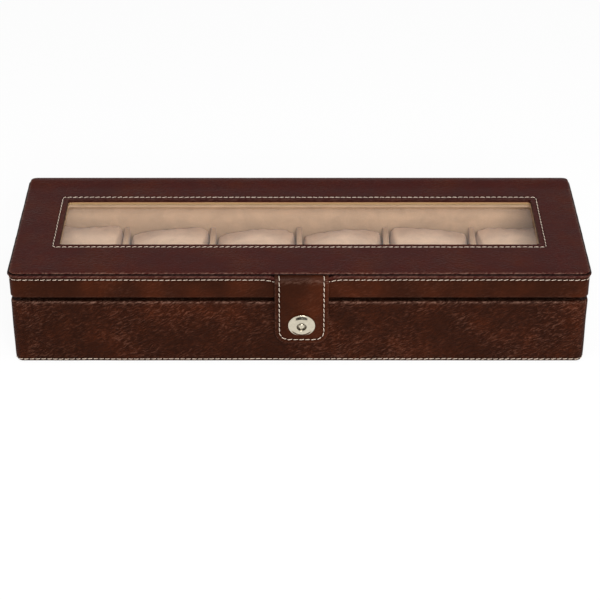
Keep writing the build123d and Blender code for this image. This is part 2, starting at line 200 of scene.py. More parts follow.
class LeatherSettings(bpy.types.PropertyGroup):
    """Leatherette of the case."""

    colour: FloatVectorProperty(
        name="Leather",
        description="Ground colour of the leatherette",
        subtype="COLOR",
        size=3,
        default=linear("2C1207"),
    )
    patch: FloatVectorProperty(
        name="Rubbed patches",
        description="Warmer colour where the finish is rubbed back",
        subtype="COLOR",
        size=3,
        default=linear("451D0B"),
    )
    top: FloatVectorProperty(
        name="Lid top",
        description="Ground colour of the smoother leather on the lid",
        subtype="COLOR",
        size=3,
        default=linear("361410"),
    )
    grain: FloatProperty(
        name="Grain", description="Width of one fold", unit="LENGTH", default=0.85 * MM
    )
    softness: FloatProperty(
        name="Softness",
        description="How far the leather swells and sinks over the boards",
        unit="LENGTH",
        default=0.12 * MM,
    )


class ThreadSettings(bpy.types.PropertyGroup):
    """Topstitching."""

    colour: FloatVectorProperty(
        name="Thread",
        description="Colour of the thread",
        subtype="COLOR",
        size=3,
        default=linear("CDB9A6"),
    )
    pitch: FloatProperty(
        name="Pitch", description="From one needle hole to the next", unit="LENGTH", default=3.4 * MM
    )
    length: FloatProperty(
        name="Stitch", description="Length of thread that shows", unit="LENGTH", default=3.0 * MM
    )
    thickness: FloatProperty(
        name="Thickness", description="Width of the thread", unit="LENGTH", default=0.45 * MM
    )
    window_margin: FloatProperty(
        name="Window margin",
        description="From the window's long edges to their stitches",
        unit="LENGTH",
        default=3.0 * MM,
    )
    window_end_margin: FloatProperty(
        name="Window end margin",
        description="From the window's short edges to their stitches",
        unit="LENGTH",
        default=3.35 * MM,
    )
    tab_margin: FloatProperty(
        name="Tab margin",
        description="From the tab's edge to its stitches",
        unit="LENGTH",
        default=2.65 * MM,
    )
    lid_height: FloatProperty(
        name="Lid row", description="Height of the lid's stitches", unit="LENGTH", default=56.4 * MM
    )
    base_height: FloatProperty(
        name="Base row", description="Height of the base's stitches", unit="LENGTH", default=2.3 * MM
    )


class CushionSettings(bpy.types.PropertyGroup):
    """Suede cushions and lining."""

    colour: FloatVectorProperty(
        name="Cushion",
        description="Colour of the cushions' suede",
        subtype="COLOR",
        size=3,
        default=linear("DCBEA3"),
    )
    lining: FloatVectorProperty(
        name="Lining",
        description="Colour of the lining's suede",
        subtype="COLOR",
        size=3,
        default=linear("C2A487"),
    )
    pressure: FloatProperty(
        name="Filling", description="Pressure that swells a cushion", default=4.0
    )
    frames: IntProperty(name="Steps", description="Steps of the simulation", default=20)
    swell: FloatProperty(
        name="Swell",
        description="Furthest that the filling may push the cloth",
        unit="LENGTH",
        default=4.5 * MM,
    )
    voxel: FloatProperty(
        name="Mesh", description="Size of a cushion's faces", unit="LENGTH", default=2.6 * MM
    )


class SnapSettings(bpy.types.PropertyGroup):
    """Snap and hinges."""

    nickel: FloatVectorProperty(
        name="Nickel",
        description="Colour of the plating",
        subtype="COLOR",
        size=3,
        default=linear("D3CAB6"),
    )


class StageSettings(bpy.types.PropertyGroup):
    """Floor, lamps and camera."""

    floor: FloatVectorProperty(
        name="Floor",
        description="Colour of the floor",
        subtype="COLOR",
        size=3,
        default=linear("FAFAFA"),
    )
    top_lamp: FloatProperty(
        name="Top lamp", description="Soft lamp above", unit="POWER", default=10.5
    )
    front_lamp: FloatProperty(
        name="Front lamp", description="Soft lamp in front", unit="POWER", default=30.0
    )
    ambient: FloatProperty(name="Ambient", description="Light from all round", default=0.22)
    lens: FloatProperty(
        name="Lens", description="Focal length on a 36 mm sensor, in mm", default=111.82
    )


# Meshes
def quads(number):
    """Faces between neighbours of a grid of point numbers."""
    corners = [number[:-1, :-1], number[:-1, 1:], number[1:, 1:], number[1:, :-1]]
    return np.stack(corners, -1).reshape(-1, 4)


def closed_quads(rows, columns):
    """Faces of a grid that closes on itself both ways."""
    number = np.arange(rows * columns).reshape(rows, columns)
    number = np.concatenate([number, number[:1]], 0)
    number = np.concatenate([number, number[:, :1]], 1)
    return quads(number)


def unit(vectors):
    """Vectors divided by their lengths."""
    return vectors / (np.linalg.norm(vectors, axis=-1, keepdims=True) + TINY)


def volume(points, faces):
    """Signed volume inside four-sided faces: a sixth of the triple products of both halves."""
    a, b, c, d = (points[faces[:, corner]] for corner in range(4))
    halves = (a * np.cross(b, c)).sum() + (a * np.cross(c, d)).sum()
    return halves / 6


def new_mesh(name, points, faces, marks=None, uv=None):
    """Smooth mesh of points and faces, with the faces pointing out, marks on points and a UV map."""
    if volume(points, faces) < 0:
        faces = faces[:, ::-1]
    mesh = bpy.data.meshes.new(name)
    mesh.from_pydata(points.tolist(), [], faces.tolist())
    for mark, values in (marks or {}).items():
        layer = mesh.attributes.new(mark, "FLOAT", "POINT")
        layer.data.foreach_set("value", values.ravel().astype(np.float32))
    if uv is not None:
        corners = np.zeros(len(mesh.loops), np.int32)
        mesh.loops.foreach_get("vertex_index", corners)
        mesh.uv_layers.new(name="UVMap").data.foreach_set("uv", uv[corners].ravel())
    mesh.shade_smooth()
    return mesh


def weld(mesh, distance):
    """Join a mesh's points that lie within a distance."""
    shape = bmesh.new()
    shape.from_mesh(mesh)
    bmesh.ops.remove_doubles(shape, verts=shape.verts, dist=distance)
    shape.to_mesh(mesh)
    shape.free()


def new_object(name, data):
    """Object that holds a mesh, a lamp or a camera, linked to the scene."""
    made = bpy.data.objects.new(name, data)
    bpy.context.scene.collection.objects.link(made)
    return made


def new_piece(name, mesh, material, body=None, stands_for=()):
    """Object at the origin that wears a material, rides a body and stands for CAD nodes."""
    piece = new_object(name, mesh)
    mesh.materials.clear()
    mesh.materials.append(material)
    if body:
        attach(piece, body)
    if stands_for:
        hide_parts(*stands_for)
    return piece


def paint(nodes, material):
    """Give CAD nodes a material."""
    for node in nodes:
        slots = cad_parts[node].material_slots
        for place in slots:
            place.material = material
        if not slots:
            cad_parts[node].data.materials.append(material)


# Outlines and profiles
def ring_samples():
    """For each point of a rounded rectangle, anticlockwise from above: its corner's centre as
    shares of the half sizes, and the way it faces."""
    corners = np.array([(-1, -1), (1, -1), (1, 1), (-1, 1)], float)
    places = []
    facings = []
    for side in range(4):
        steps = SHORT_STEPS if side % 2 else LONG_STEPS
        share = np.linspace(0, 1, steps, endpoint=False)[:, None]
        start, end = corners[side], corners[(side + 1) % 4]
        heading = math.radians(90 * side - 90)
        angle = heading + np.linspace(0, math.pi / 2, TURN_STEPS, endpoint=False)
        places += [start + share * (end - start), np.tile(end, (TURN_STEPS, 1))]
        ahead = np.array([math.cos(heading), math.sin(heading)])
        facings += [np.tile(ahead, (steps, 1)), np.stack([np.cos(angle), np.sin(angle)], 1)]
    return np.concatenate(places), np.concatenate(facings)


RING_PLACE, RING_FACING = ring_samples()


def rings(rows):
    """Level rounded rectangles, one for each row of (half x, half y, corner, shift back, height).

    A point is its corner's centre plus the corner radius times the way it faces. Along a straight
    run the centre slides to the next corner, and in a corner the way it faces swings round.
    """
    half_x, half_y, corner, shift, height = (rows[:, [column]] for column in range(5))
    x = RING_PLACE[:, 0] * (half_x - corner) + RING_FACING[:, 0] * corner
    y = RING_PLACE[:, 1] * (half_y - corner) + RING_FACING[:, 1] * corner + shift
    return np.stack(np.broadcast_arrays(x, y, height), -1)


def run(start, end, steps):
    """Points from start up to end, which is left to the next run."""
    share = np.linspace(0, 1, steps, endpoint=False)[:, None]
    return np.array(start) + share * (np.array(end) - np.array(start))


def legs(knots, counts):
    """Points along a broken line, with a number of steps for each of its legs."""
    return np.concatenate([run(*leg) for leg in zip(knots, knots[1:], counts)])


def turn(centre, radius, first, last, steps):
    """Points round a circle from the first angle up to the last, in degrees."""
    angle = np.radians(np.linspace(first, last, steps, endpoint=False))[:, None]
    return np.array(centre) + radius * np.concatenate([np.cos(angle), np.sin(angle)], 1)


def wall_rows(profile, half_x, half_y, corner):
    """Rows of rings from a wall's profile of (inset, height)."""
    inset, height = profile.T
    corners = np.maximum(corner - inset, LEAST_CORNER)
    return np.stack([half_x - inset, half_y - inset, corners, 0 * inset, height], 1)


def window_rows(outset, height, stretch=1.0):
    """Rows of rings let out from the window's edge, stretched along the case. The corners stay
    tight, as they do round the folded hem."""
    corners = WINDOW_CORNER - 0.6 * MM * np.clip(outset / MM, 0, 1)
    shift = np.full_like(outset, WINDOW_SHIFT)
    half_x = WINDOW_X + outset * stretch
    return np.stack([half_x, WINDOW_Y + outset, corners, shift, height], 1)


# Soft skins
def normals_of(points):
    """Outward normals of a grid that closes both ways: the cross product of its two directions,
    turned so that the volume that it bounds is positive."""
    along = np.roll(points, -1, 1) - np.roll(points, 1, 1)
    across = np.roll(points, -1, 0) - np.roll(points, 1, 0)
    cross = np.cross(along, across)
    facing = 1.0 if (points * cross).sum() > 0 else -1.0
    return facing * unit(cross)


def push(points, distance):
    """Points of a grid moved out along their normals."""
    return points + normals_of(points) * distance[..., None]


def travelled(path):
    """Way along a path to each of its points."""
    return np.concatenate([[0], np.cumsum(np.linalg.norm(np.diff(path, axis=0), axis=1))])


def reach(points, row):
    """Distance of each row from one row, measured up and down the middle of the front."""
    travel = travelled(points[:, FRONT_MIDDLE])
    return np.abs(travel - travel[row])


def bell(distance, width):
    """One at no distance, falling away as a bell curve."""
    return np.exp(-((distance / width) ** 2))


def waves(points, seed, count=9, shortest=14 * MM, longest=70 * MM):
    """Slow unevenness between about -1 and 1: a sum of sines along seeded directions."""
    random = np.random.default_rng(seed)
    directions = unit(random.normal(size=(count, 3)))
    lengths = random.uniform(shortest, longest, count)
    phases = random.uniform(0, 2 * math.pi, count)
    angles = points @ (directions * (2 * math.pi / lengths)[:, None]).T + phases
    return np.sin(angles).sum(-1) / math.sqrt(count)


def stitch_count(path, pitch):
    """Whole number of stitches round a closed path, and how far along it each point lies."""
    travel = travelled(np.concatenate([path, path[:1]]))
    count = max(1, round(travel[-1] / pitch))
    return count, travel / travel[-1]


def puckers(count, share):
    """How deep a stitched line lies along its way: it swells with the cosine of the stitch
    count, deepest at the needle holes."""
    return 0.65 + 0.35 * np.cos(2 * math.pi * count * share)


def sink_seam(points, row, pitch, depth=0.3 * MM, width=0.75 * MM):
    """Sink a closed stitched line into a skin, and mark it. Across the line the depth is a bell
    curve, and along it the line puckers."""
    count, share = stitch_count(points[row], pitch)
    mark = bell(reach(points, row), width)[:, None] * puckers(count, share[:-1])
    return push(points, -depth * mark), 0.68 * mark


def hollow(x, z, low, high, depth=0.4 * MM):
    """Depth of the hollow that leather has round a disc with a given box: even under the disc,
    and sloping out past its edge."""
    radius = (high.x - low.x) / 2
    apart = np.hypot(x - (low.x + high.x) / 2, z - (low.z + high.z) / 2)
    return depth * np.clip((radius + 0.8 * MM - apart) / (0.8 * MM), 0, 1)


def strap_dip(points):
    """How far the lid's front gives way beside and under the strap, from 0 to 1: the square of
    the way left to the end of the dip."""
    beside = np.abs(points[..., 0] - TAB_X) - TAB_HALF
    share = 1 - np.clip(beside / DIP_REACH, 0, 1)
    return np.where(points[..., 1] < -BAND_HIGH.y / 2, share**2, 0)


def walls(before, after, high):
    """Rings round the walls of a part, from its profile before and after its stitched row, with
    the numbers of that row and of the middle of the rim."""
    points = rings(wall_rows(np.concatenate(before + after), high.x, high.y, CORNER))
    return points, sum(len(part) for part in before), len(before[0]) + len(before[1]) // 2


def base_skin(thread, softness):
    """Leather of the base: over the rim, down the walls, round the bottom edge and turned in.

    The profile of (inset, height) is straight runs joined by quarter circles, carried round the
    case. The stitched row lies on the bottom edge.
    """
    top = BASE_HIGH.z
    lap = BASE_HIGH.x + LINER_LOW.x
    turn_in = BASE_HIGH.x - SHEET_HIGH.x
    stitched = math.degrees(math.asin(1 - thread.base_height / BASE_EDGE))
    centre = (BASE_EDGE, BASE_EDGE)
    before = [
        run((lap, top), (BASE_RIM, top), 5),
        turn((BASE_RIM, top - BASE_RIM), BASE_RIM, 90, 180, 6),
        run((0, top - BASE_RIM), (0, BASE_EDGE), 34),
        turn(centre, BASE_EDGE, 180, 180 + stitched, 5),
    ]
    after = [
        turn(centre, BASE_EDGE, 180 + stitched, 270, 9),
        legs([(BASE_EDGE, 0), (turn_in, 0), (turn_in, LEATHER), (BASE_EDGE, LEATHER)], (4, 2, 2)),
        turn(centre, BASE_EDGE - LEATHER, 270, 180, 4),
        legs([(LEATHER, BASE_EDGE), (LEATHER, top - LEATHER), (lap, top - LEATHER)], (2, 2)),
    ]
    points, row, rim = walls(before, after, BASE_HIGH)
    firm = np.clip(points[..., 2] / BASE_EDGE, 0, 1) * (1 - bell(points[..., 2] - top, 0.4 * MM))
    points = push(points, softness * firm * waves(points, seed=11))
    facing = np.abs(points[..., 1] + BASE_HIGH.y) < 0.6 * MM
    points[..., 1] += facing * hollow(points[..., 0], points[..., 2], PLATE_LOW, PLATE_HIGH)
    points, seam = sink_seam(points, row, thread.pitch)
    # Painted highlight, partly wear, on the ridge of the rim, and painted shade on the rim's top
    # inside the joint under the lid
    edge = bell(reach(points, rim + 1), 0.6 * MM)[:, None]
    inside = np.clip((reach(points, rim) - 0.3 * MM) / (0.4 * MM), 0, 1)
    seam[:rim] = np.maximum(seam[:rim], 0.7 * inside[:rim, None])
    return points, row, {"seam": seam, "edge": np.broadcast_to(edge, seam.shape)}


def band_skin(thread, softness):
    """Leather of the lid's walls, from inside its mouth up to the bead, with its stitched row."""
    low, high = BAND_LOW.z, BAND_HIGH.z
    lap = BAND_HIGH.x - SIDES_HIGH.x
    before = [
        run((lap, low), (LID_RIM, low), 4),
        turn((LID_RIM, low + LID_RIM), LID_RIM, 270, 180, 6),
        run((0, low + LID_RIM), (0, thread.lid_height), 14),
    ]
    bevel = 0.3 * MM
    knots = [(0, thread.lid_height), (0, high - bevel), (bevel, high), (LEATHER, high)]
    knots += [(LEATHER, low + LEATHER), (lap, low + LEATHER)]
    points, row, rim = walls(before, [legs(knots, (4, 2, 2, 2, 2))], BAND_HIGH)
    firm = 1 - bell(points[..., 2] - low, 0.4 * MM)
    points = push(points, softness * firm * waves(points, seed=12))
    share = np.clip((points[..., 2] - low) / (high - low), 0, 1)
    points[..., 2] -= BEAD_DIP * strap_dip(points) * share**2.2
    points, seam = sink_seam(points, row, thread.pitch)
    # Painted shade on the underside of the mouth, in the joint over the base, and a faint painted
    # highlight, partly wear, on the mouth's rounded edge
    seam[: len(before[0]) + 2] = 0.7
    edge = 0.15 * bell(reach(points, rim), 0.8 * MM)[:, None]
    return points, row, {"seam": seam, "edge": np.broadcast_to(edge, seam.shape)}


def bead_skin(softness):
    """Bead between the lid's walls and its top: a circle carried round the case."""
    radius = (BEAD_HIGH.z - BEAD_LOW.z) / 2
    centre = (radius, (BEAD_HIGH.z + BEAD_LOW.z) / 2)
    profile = turn(centre, radius, 0, 360, 16)
    points = rings(wall_rows(profile, BEAD_HIGH.x, BEAD_HIGH.y, CORNER + LEATHER))
    ripple = waves(points, seed=13, shortest=5 * MM, longest=30 * MM)
    points = push(points, 0.5 * softness * ripple)
    points[..., 2] -= BEAD_DIP * strap_dip(points)
    # Painted shade on the bead's top, in the groove under the lid's top, and painted highlight,
    # partly wear, round its outermost middle
    height = (points[..., 2] - BEAD_LOW.z) / (BEAD_HIGH.z - BEAD_LOW.z)
    edge = 0.68 * bell(height - 0.5, 0.3)
    return points, {"seam": np.clip((height - 0.72) / 0.2, 0, 1), "edge": edge}


def painted_groove_shade():
    """Dark strip at the bottom of the groove under the lid's top, which paints shade where the
    strap presses the bead down: a narrow upright strip carried round the case."""
    low, high = BEAD_LOW.z - 0.2 * MM, PANEL_LOW.z + 0.1 * MM
    front, back = 1.45 * MM, 1.95 * MM
    knots = [(front, low), (front, high), (back, high), (back, low), (front, low)]
    profile = legs(knots, (3, 2, 2, 2))
    points = rings(wall_rows(profile, BEAD_HIGH.x, BEAD_HIGH.y, CORNER + LEATHER))
    # Painted shade all over the strip
    mark = np.ones(points.shape[:2])
    return points, {"seam": mark, "edge": 0 * mark}


def panel_skin(thread, softness):
    """Leather of the lid's top, from its rolled outer edge to its rolled hem in the window.

    The rings start at the case's outline drawn in, blend evenly into the window's outline let
    out, close up on both sides of the stitched row, and go over the hem and back underneath.
    """
    low, high = PANEL_LOW.z, PANEL_HIGH.z
    margin = thread.window_margin
    roll_start = 7.0 * MM
    close = 1.2 * MM
    fold = -0.1 * MM
    rim_knots = [(1.1 * MM, low), (0.3 * MM, low + 0.12 * MM), (0, high - PANEL_EDGE)]
    rim_profile = np.concatenate(
        [
            legs(rim_knots, (2, 2)),
            turn((PANEL_EDGE, high - PANEL_EDGE), PANEL_EDGE, 180, 90, 7),
            run((PANEL_EDGE, high), (roll_start, high), 8),
        ]
    )
    outer = wall_rows(rim_profile, PANEL_HIGH.x, PANEL_HIGH.y, CORNER)
    stations = (roll_start, margin + close, margin, margin - close, HEM_EDGE)
    counts = (4, 5, 5, 4)
    outset = np.concatenate(
        [np.linspace(*span, endpoint=False) for span in zip(stations, stations[1:], counts)]
    )
    stretch = thread.window_end_margin / margin
    inner = window_rows(outset, np.full_like(outset, high), stretch)
    share = np.linspace(0, 1, 14, endpoint=False)[1:, None]
    middle = outer[-1:] * (1 - share) + inner[:1] * share
    hem_knots = [(fold, high - HEM_EDGE), (fold, low - 0.5 * MM), (0.2 * MM, low - 0.6 * MM)]
    hem_profile = np.concatenate(
        [
            turn((HEM_EDGE + fold, high - HEM_EDGE), HEM_EDGE, 90, 180, 6),
            legs(hem_knots, (3, 2)),
            np.array([(0.35 * MM, low - 0.1 * MM)]),
        ]
    )
    hem = window_rows(*hem_profile.T)
    row = len(outer) + len(middle) + sum(counts[:2])
    points = rings(np.concatenate([outer, middle, inner, hem]))

    # The padding lifts the leather between its edges and beside the hem, swells it towards the
    # back, and lets it fall off at the outer edges
    inward = np.minimum(
        PANEL_HIGH.x - np.abs(points[..., 0]), PANEL_HIGH.y - np.abs(points[..., 1])
    )
    to_window = np.maximum(
        np.abs(points[..., 0]) - WINDOW_X, np.abs(points[..., 1] - WINDOW_SHIFT) - WINDOW_Y
    )
    on_top = np.clip((points[..., 2] - low) / (high - low), 0, 1)
    padding = np.clip(inward / roll_start, 0, 1) * np.clip(to_window / roll_start, 0, 1)
    beside_hem = 0.4 * bell(to_window - 1.3 * MM, 1.2 * MM)
    lift = softness * (waves(points, seed=14) * padding + beside_hem)
    from_back = PANEL_HIGH.y - points[..., 1]
    puff = np.clip(1 - (from_back - 3 * MM) / (12 * MM), 0, 1)
    puff = PUFF * puff**2 * (3 - 2 * puff)
    back = np.clip(1 - from_back / (7.5 * MM), 0, 1)
    other = np.clip(1 - inward / (5 * MM), 0, 1)
    roll_off = BACK_ROLL * back**2 + EDGE_ROLL * other**2
    points[..., 2] += on_top * (lift + puff - roll_off)

    # The outer edge and the hem's crest are paled, partly wear and partly painted highlight; the
    # lowest rows of the outer edge get painted shade, and the hem's face is darker
    points, seam = sink_seam(points, row, thread.pitch)
    edge_row, crest_row, face_row = 6, len(points) - 9, len(points) - 6
    edge = np.broadcast_to(0.8 * bell(reach(points, edge_row), 0.8 * MM)[:, None], seam.shape)
    edge = edge + 0.22 * bell(reach(points, crest_row), 0.9 * MM)[:, None]
    seam[:4] = 1
    face = bell(reach(points, face_row), 1.0 * MM)[:, None]
    return points, row, {"seam": np.maximum(seam, 0.45 * face), "edge": edge}


# Cards and straps
def sewn_sheets(top, bottom):
    """Points and faces of two sheets over one grid, joined along their common outline."""
    rows, columns = top.shape[:2]
    number = np.arange(rows * columns).reshape(rows, columns)
    under = number.copy()
    inside = (rows - 2) * (columns - 2)
    under[1:-1, 1:-1] = rows * columns + np.arange(inside).reshape(rows - 2, columns - 2)
    points = np.concatenate([top.reshape(-1, 3), bottom[1:-1, 1:-1].reshape(-1, 3)])
    return points, np.concatenate([quads(number), quads(under)[:, ::-1]])


def sewn_marks(values):
    """Values of a grid for the points of its two sewn sheets."""
    return np.concatenate([values.ravel(), values[1:-1, 1:-1].ravel()])


def crowd(share):
    """Shares from -1 to 1, crowded at both ends: one less the square of the way to the end."""
    return np.sign(share) * (1 - (1 - np.abs(share)) ** 2)


def card_grid(half_width, length, near_corner, far_corner, columns, rows):
    """Grid over a flat card with two pairs of rounded corners: its place across, its place along
    and its distance from the outline.

    Across, the grid is scaled to the width that the corner circles leave. The distance is that
    of a rounded rectangle: the corner radius less the way to the corner's centre.
    """
    along = (crowd(np.linspace(-1, 1, rows)) + 1) / 2 * length
    corner = np.where(along < length / 2, near_corner, far_corner)
    to_end = np.minimum(along, length - along)
    short = np.clip(corner - to_end, 0, corner)
    width = half_width - corner + np.sqrt(np.maximum(corner**2 - short**2, 0))
    across = crowd(np.linspace(-1, 1, columns)) * width[:, None]
    past_x = np.abs(across) - (half_width - corner)[:, None]
    past_y = np.broadcast_to((corner - to_end)[:, None], past_x.shape)
    outside = np.hypot(np.maximum(past_x, 0), np.maximum(past_y, 0))
    inside = np.minimum(np.maximum(past_x, past_y), 0)
    distance = np.maximum(corner[:, None] - outside - inside, 0)
    return across, np.broadcast_to(along[:, None], across.shape), distance


def rounded_edge(distance, radius):
    """Share of the thickness near an outline: a quarter circle over the radius."""
    return np.sqrt(np.maximum(1 - (1 - np.minimum(distance / radius, 1)) ** 2, 0))


def suede_card(low, high, seed, edge=0.75 * MM, wave=0.1 * MM):
    """Card between two corners of a box, flat across its thinnest side, with folded edges.

    Both sheets stand half the thickness from the middle, times a quarter circle at the outline,
    and a slow wave moves them together.
    """
    size = np.array(high) - np.array(low)
    thin = int(np.argmin(size))
    first, second = (axis for axis in range(3) if axis != thin)
    columns = int(np.clip(size[first] / (3 * MM), 16, 110))
    rows = int(np.clip(size[second] / (3 * MM), 12, 60))
    across, along, distance = card_grid(
        size[first] / 2, size[second], edge, edge, columns, rows
    )
    half = size[thin] / 2 * rounded_edge(distance, min(edge, size[thin]))
    middle = (np.array(low) + np.array(high)) / 2
    sheets = []
    for side in (1, -1):
        sheet = np.zeros(across.shape + (3,))
        sheet[..., first] = middle[first] + across
        sheet[..., second] = low[second] + along
        sheet[..., thin] = middle[thin] + side * half
        sheets.append(sheet)
    shift = wave * waves(sheets[0], seed, shortest=20 * MM, longest=90 * MM)
    shift = shift * np.clip(distance / (6 * MM), 0, 1)
    for sheet in sheets:
        sheet[..., thin] += shift
    return sewn_sheets(*sheets)


def bow(fall):
    """How far the hanging leather stands out above the snap: half a sine wave down to it."""
    return TAB_BOW * np.sin(math.pi * np.clip(fall / TAB_BOW_LENGTH, 0, 1))


def strap_point(across, along, height):
    """Place on the hanging tab of a point on its flat leather.

    The middle of the leather runs level out of the groove, turns down a quarter circle and hangs
    down to its end, bowed out above the snap. The height is measured along the normal.
    """
    start = TAB_MIDDLE + TAB_BEND + TAB_RUN
    angle = np.clip((along - TAB_RUN) / TAB_BEND, 0, math.pi / 2)
    fall = np.maximum(along - TAB_HANG, 0)
    y = start - np.minimum(along, TAB_RUN) - (TAB_BEND + height) * np.sin(angle) - bow(fall)
    z = TAB_LEVEL - TAB_BEND * (1 - np.cos(angle)) - fall + height * np.cos(angle)
    return np.stack(np.broadcast_arrays(TAB_X + across, y, z), -1)


def strap_path(thread):
    """Stitched line on the flat tab, down one side, round the end and up the other: places across
    and along, evenly spaced, with both corners as quarter circles."""
    half = TAB_HALF - thread.tab_margin
    corner = TAB_CORNER - thread.tab_margin
    end = TAB_LENGTH - thread.tab_margin
    start = TAB_RUN * 0.6
    path = np.concatenate(
        [
            run((-half, start), (-half, end - corner), 60),
            turn((corner - half, end - corner), corner, 180, 90, 16),
            run((corner - half, end), (half - corner, end), 24),
            turn((half - corner, end - corner), corner, 90, 0, 16),
            run((half, end - corner), (half, start), 60),
            np.array([(half, start)]),
        ]
    )
    travel = travelled(path)
    return path, travel / travel[-1], round(travel[-1] / thread.pitch)


def nearest_share(across, along, path, share):
    """Distance from each point of a flat grid to a path, and the share of the path there."""
    offset_x = across[..., None] - path[:, 0]
    offset_y = along[..., None] - path[:, 1]
    apart = np.hypot(offset_x, offset_y)
    nearest = apart.argmin(-1)
    return np.take_along_axis(apart, nearest[..., None], -1)[..., 0], share[nearest]


def strap_sheets(thread, softness):
    """Outer leather of the tab: two sheets on the strap's path, with a sunk stitched line."""
    across, along, distance = card_grid(TAB_HALF, TAB_LENGTH, 0.4 * MM, TAB_CORNER, 48, 84)
    thickness = TAB_JOINT - TAB_FACE
    half = thickness / 2 * rounded_edge(distance, 0.6 * MM)
    path, share, count = strap_path(thread)
    apart, place = nearest_share(across, along, path, share)
    seam = bell(apart, 0.7 * MM) * puckers(count, place)
    bend = bell(along - TAB_HANG, 1.3 * MM)
    flat = np.stack([across, along, 0 * across], -1)
    lift = softness * waves(flat, seed=21) * np.clip(distance / (4 * MM), 0, 1)
    top = strap_point(across, along, half - 0.28 * MM * seam + lift)
    bottom = strap_point(across, along, -half)
    points, faces = sewn_sheets(top, bottom)
    # Pale outline and bend: partly wear and partly painted highlight where the strap bends over the
    # bead
    edge = np.maximum(0.3 * bell(distance, 0.7 * MM), 0.45 * bend)
    return points, faces, {"seam": sewn_marks(0.68 * seam), "edge": sewn_marks(edge)}


def backing_sheets():
    """Inner leather of the tab: a flat card behind the outer one, a little smaller."""
    shy = 0.2 * MM
    top = BACKING_HIGH.z - 1.4 * MM
    length = top - (TAB_END + shy)
    across, along, distance = card_grid(TAB_HALF - shy, length, 1.0 * MM, TAB_CORNER, 40, 60)
    half = (BACKING_HIGH.y - BACKING_LOW.y) / 2 * rounded_edge(distance, 0.45 * MM)
    middle = (BACKING_HIGH.y + BACKING_LOW.y) / 2
    height = top - along
    middle = middle - bow(TAB_TOP - TAB_BEND - height)
    cup = hollow(TAB_X + across, height, CUP_LOW, CUP_HIGH, 0.85 * MM)
    faces_y = (middle - half, middle + half - cup)
    sheets = [
        np.stack(np.broadcast_arrays(TAB_X + across, face_y, height), -1) for face_y in faces_y
    ]
    points, faces = sewn_sheets(*sheets)
    # Pale outline: partly wear and partly painted highlight
    edge = sewn_marks(0.3 * bell(distance, 0.7 * MM))
    return points, faces, {"seam": 0 * edge, "edge": edge}


# Thread
def stitch_template():
    """One stitch of unit size along X: rings round a line that falls away to both ends by the
    fourth power of the way there. A ring's radius is the square root of one less that power.
    Its UV map runs along the stitch and round it."""
    stations = np.array([-1.0, -0.9, -0.6, -0.2, 0.2, 0.6, 0.9, 1.0])
    around = np.linspace(0, 2 * math.pi, 7)
    radius = np.sqrt(np.maximum(1 - stations**4, 0)) + 0.02
    rise = 0.75 - 1.1 * stations**4
    x = np.broadcast_to(stations[:, None], (8, 7))
    y = radius[:, None] * np.cos(around)
    z = radius[:, None] * np.sin(around) * 0.85 + rise[:, None]
    uv = np.stack(np.broadcast_arrays(x / 2 + 0.5, around / (2 * math.pi)), -1)
    number = np.arange(56).reshape(8, 7)
    return np.stack([x, y, z], -1).reshape(-1, 3), quads(number), uv.reshape(-1, 2)


def sew(path, normals, share, count, thread, seed):
    """Place stitches along a path: each is the template bent on the path, in the frame of the
    path's direction, its normal and the way across, slanted and shaken by seeded noise."""
    random = np.random.default_rng(seed)
    middles = (np.arange(count)[:, None] + 0.5) / count
    step = 0.3 / count

    def at(values, places):
        return np.stack([np.interp(places, share, values[:, axis]) for axis in range(3)], -1)

    length = thread.length / 2 * random.normal(1, 0.03, (count, 1))
    radius = thread.thickness / 2 * random.normal(1, 0.04, (count, 1))
    slant = np.tan(np.radians(random.normal(6.5, 1.5, (count, 1))))
    template, faces, uv = stitch_template()
    along = template[:, 0] * length
    places = middles + along / travelled(path)[-1]
    ahead = unit(at(path, places + step) - at(path, places - step))
    up = unit(at(normals, places))
    up = unit(up - ahead * (up * ahead).sum(-1, keepdims=True))
    side = np.cross(up, ahead)
    across = template[:, 1] * radius + along * slant
    points = at(path, places) + side * across[..., None]
    points = points + up * (template[:, 2] * radius)[..., None]
    offsets = np.arange(count)[:, None, None] * len(template)
    return points.reshape(-1, 3), (faces + offsets).reshape(-1, 4), np.tile(uv, (count, 1))


def thread_mesh(name, points, faces, uv):
    """Mesh of many stitches with their pointed ends and side seams closed."""
    mesh = new_mesh(name, points, faces, uv=uv)
    weld(mesh, 0.004 * MM)
    return mesh


def ring_thread(name, skin, row, thread, seed):
    """Stitches along a closed row of a skin."""
    path = skin[row]
    count, share = stitch_count(path, thread.pitch)
    closed = np.concatenate([path, path[:1]])
    normals = normals_of(skin)[row]
    normals = np.concatenate([normals, normals[:1]])
    return thread_mesh(name, *sew(closed, normals, share, count, thread, seed))


# Snap
def turned_mesh(name, profile, centre, groove, sides=72):
    """Surface of a profile of (radius, height) turned round the front-to-back line through a
    centre, with the height towards the front, and tilted with the tab's bowed leather. Its mark
    is a bell curve at the groove's radius, which paints shade into the groove."""
    angle = np.linspace(0, 2 * math.pi, sides, endpoint=False)
    radius = profile[:, :1]
    flat = radius * np.sin(angle)
    out = np.broadcast_to(profile[:, 1:2], flat.shape)
    x = centre.x + radius * np.cos(angle)
    y = TAB_FACE - 0.45 * MM - out * math.cos(SNAP_TILT) - flat * math.sin(SNAP_TILT)
    z = centre.z + flat * math.cos(SNAP_TILT) - out * math.sin(SNAP_TILT)
    points = np.stack([x, y, z], -1).reshape(-1, 3)
    mark = bell(radius - groove, 0.45 * MM) * np.ones_like(flat)
    return new_mesh(name, points, closed_quads(len(profile), sides), {"seam": mark})


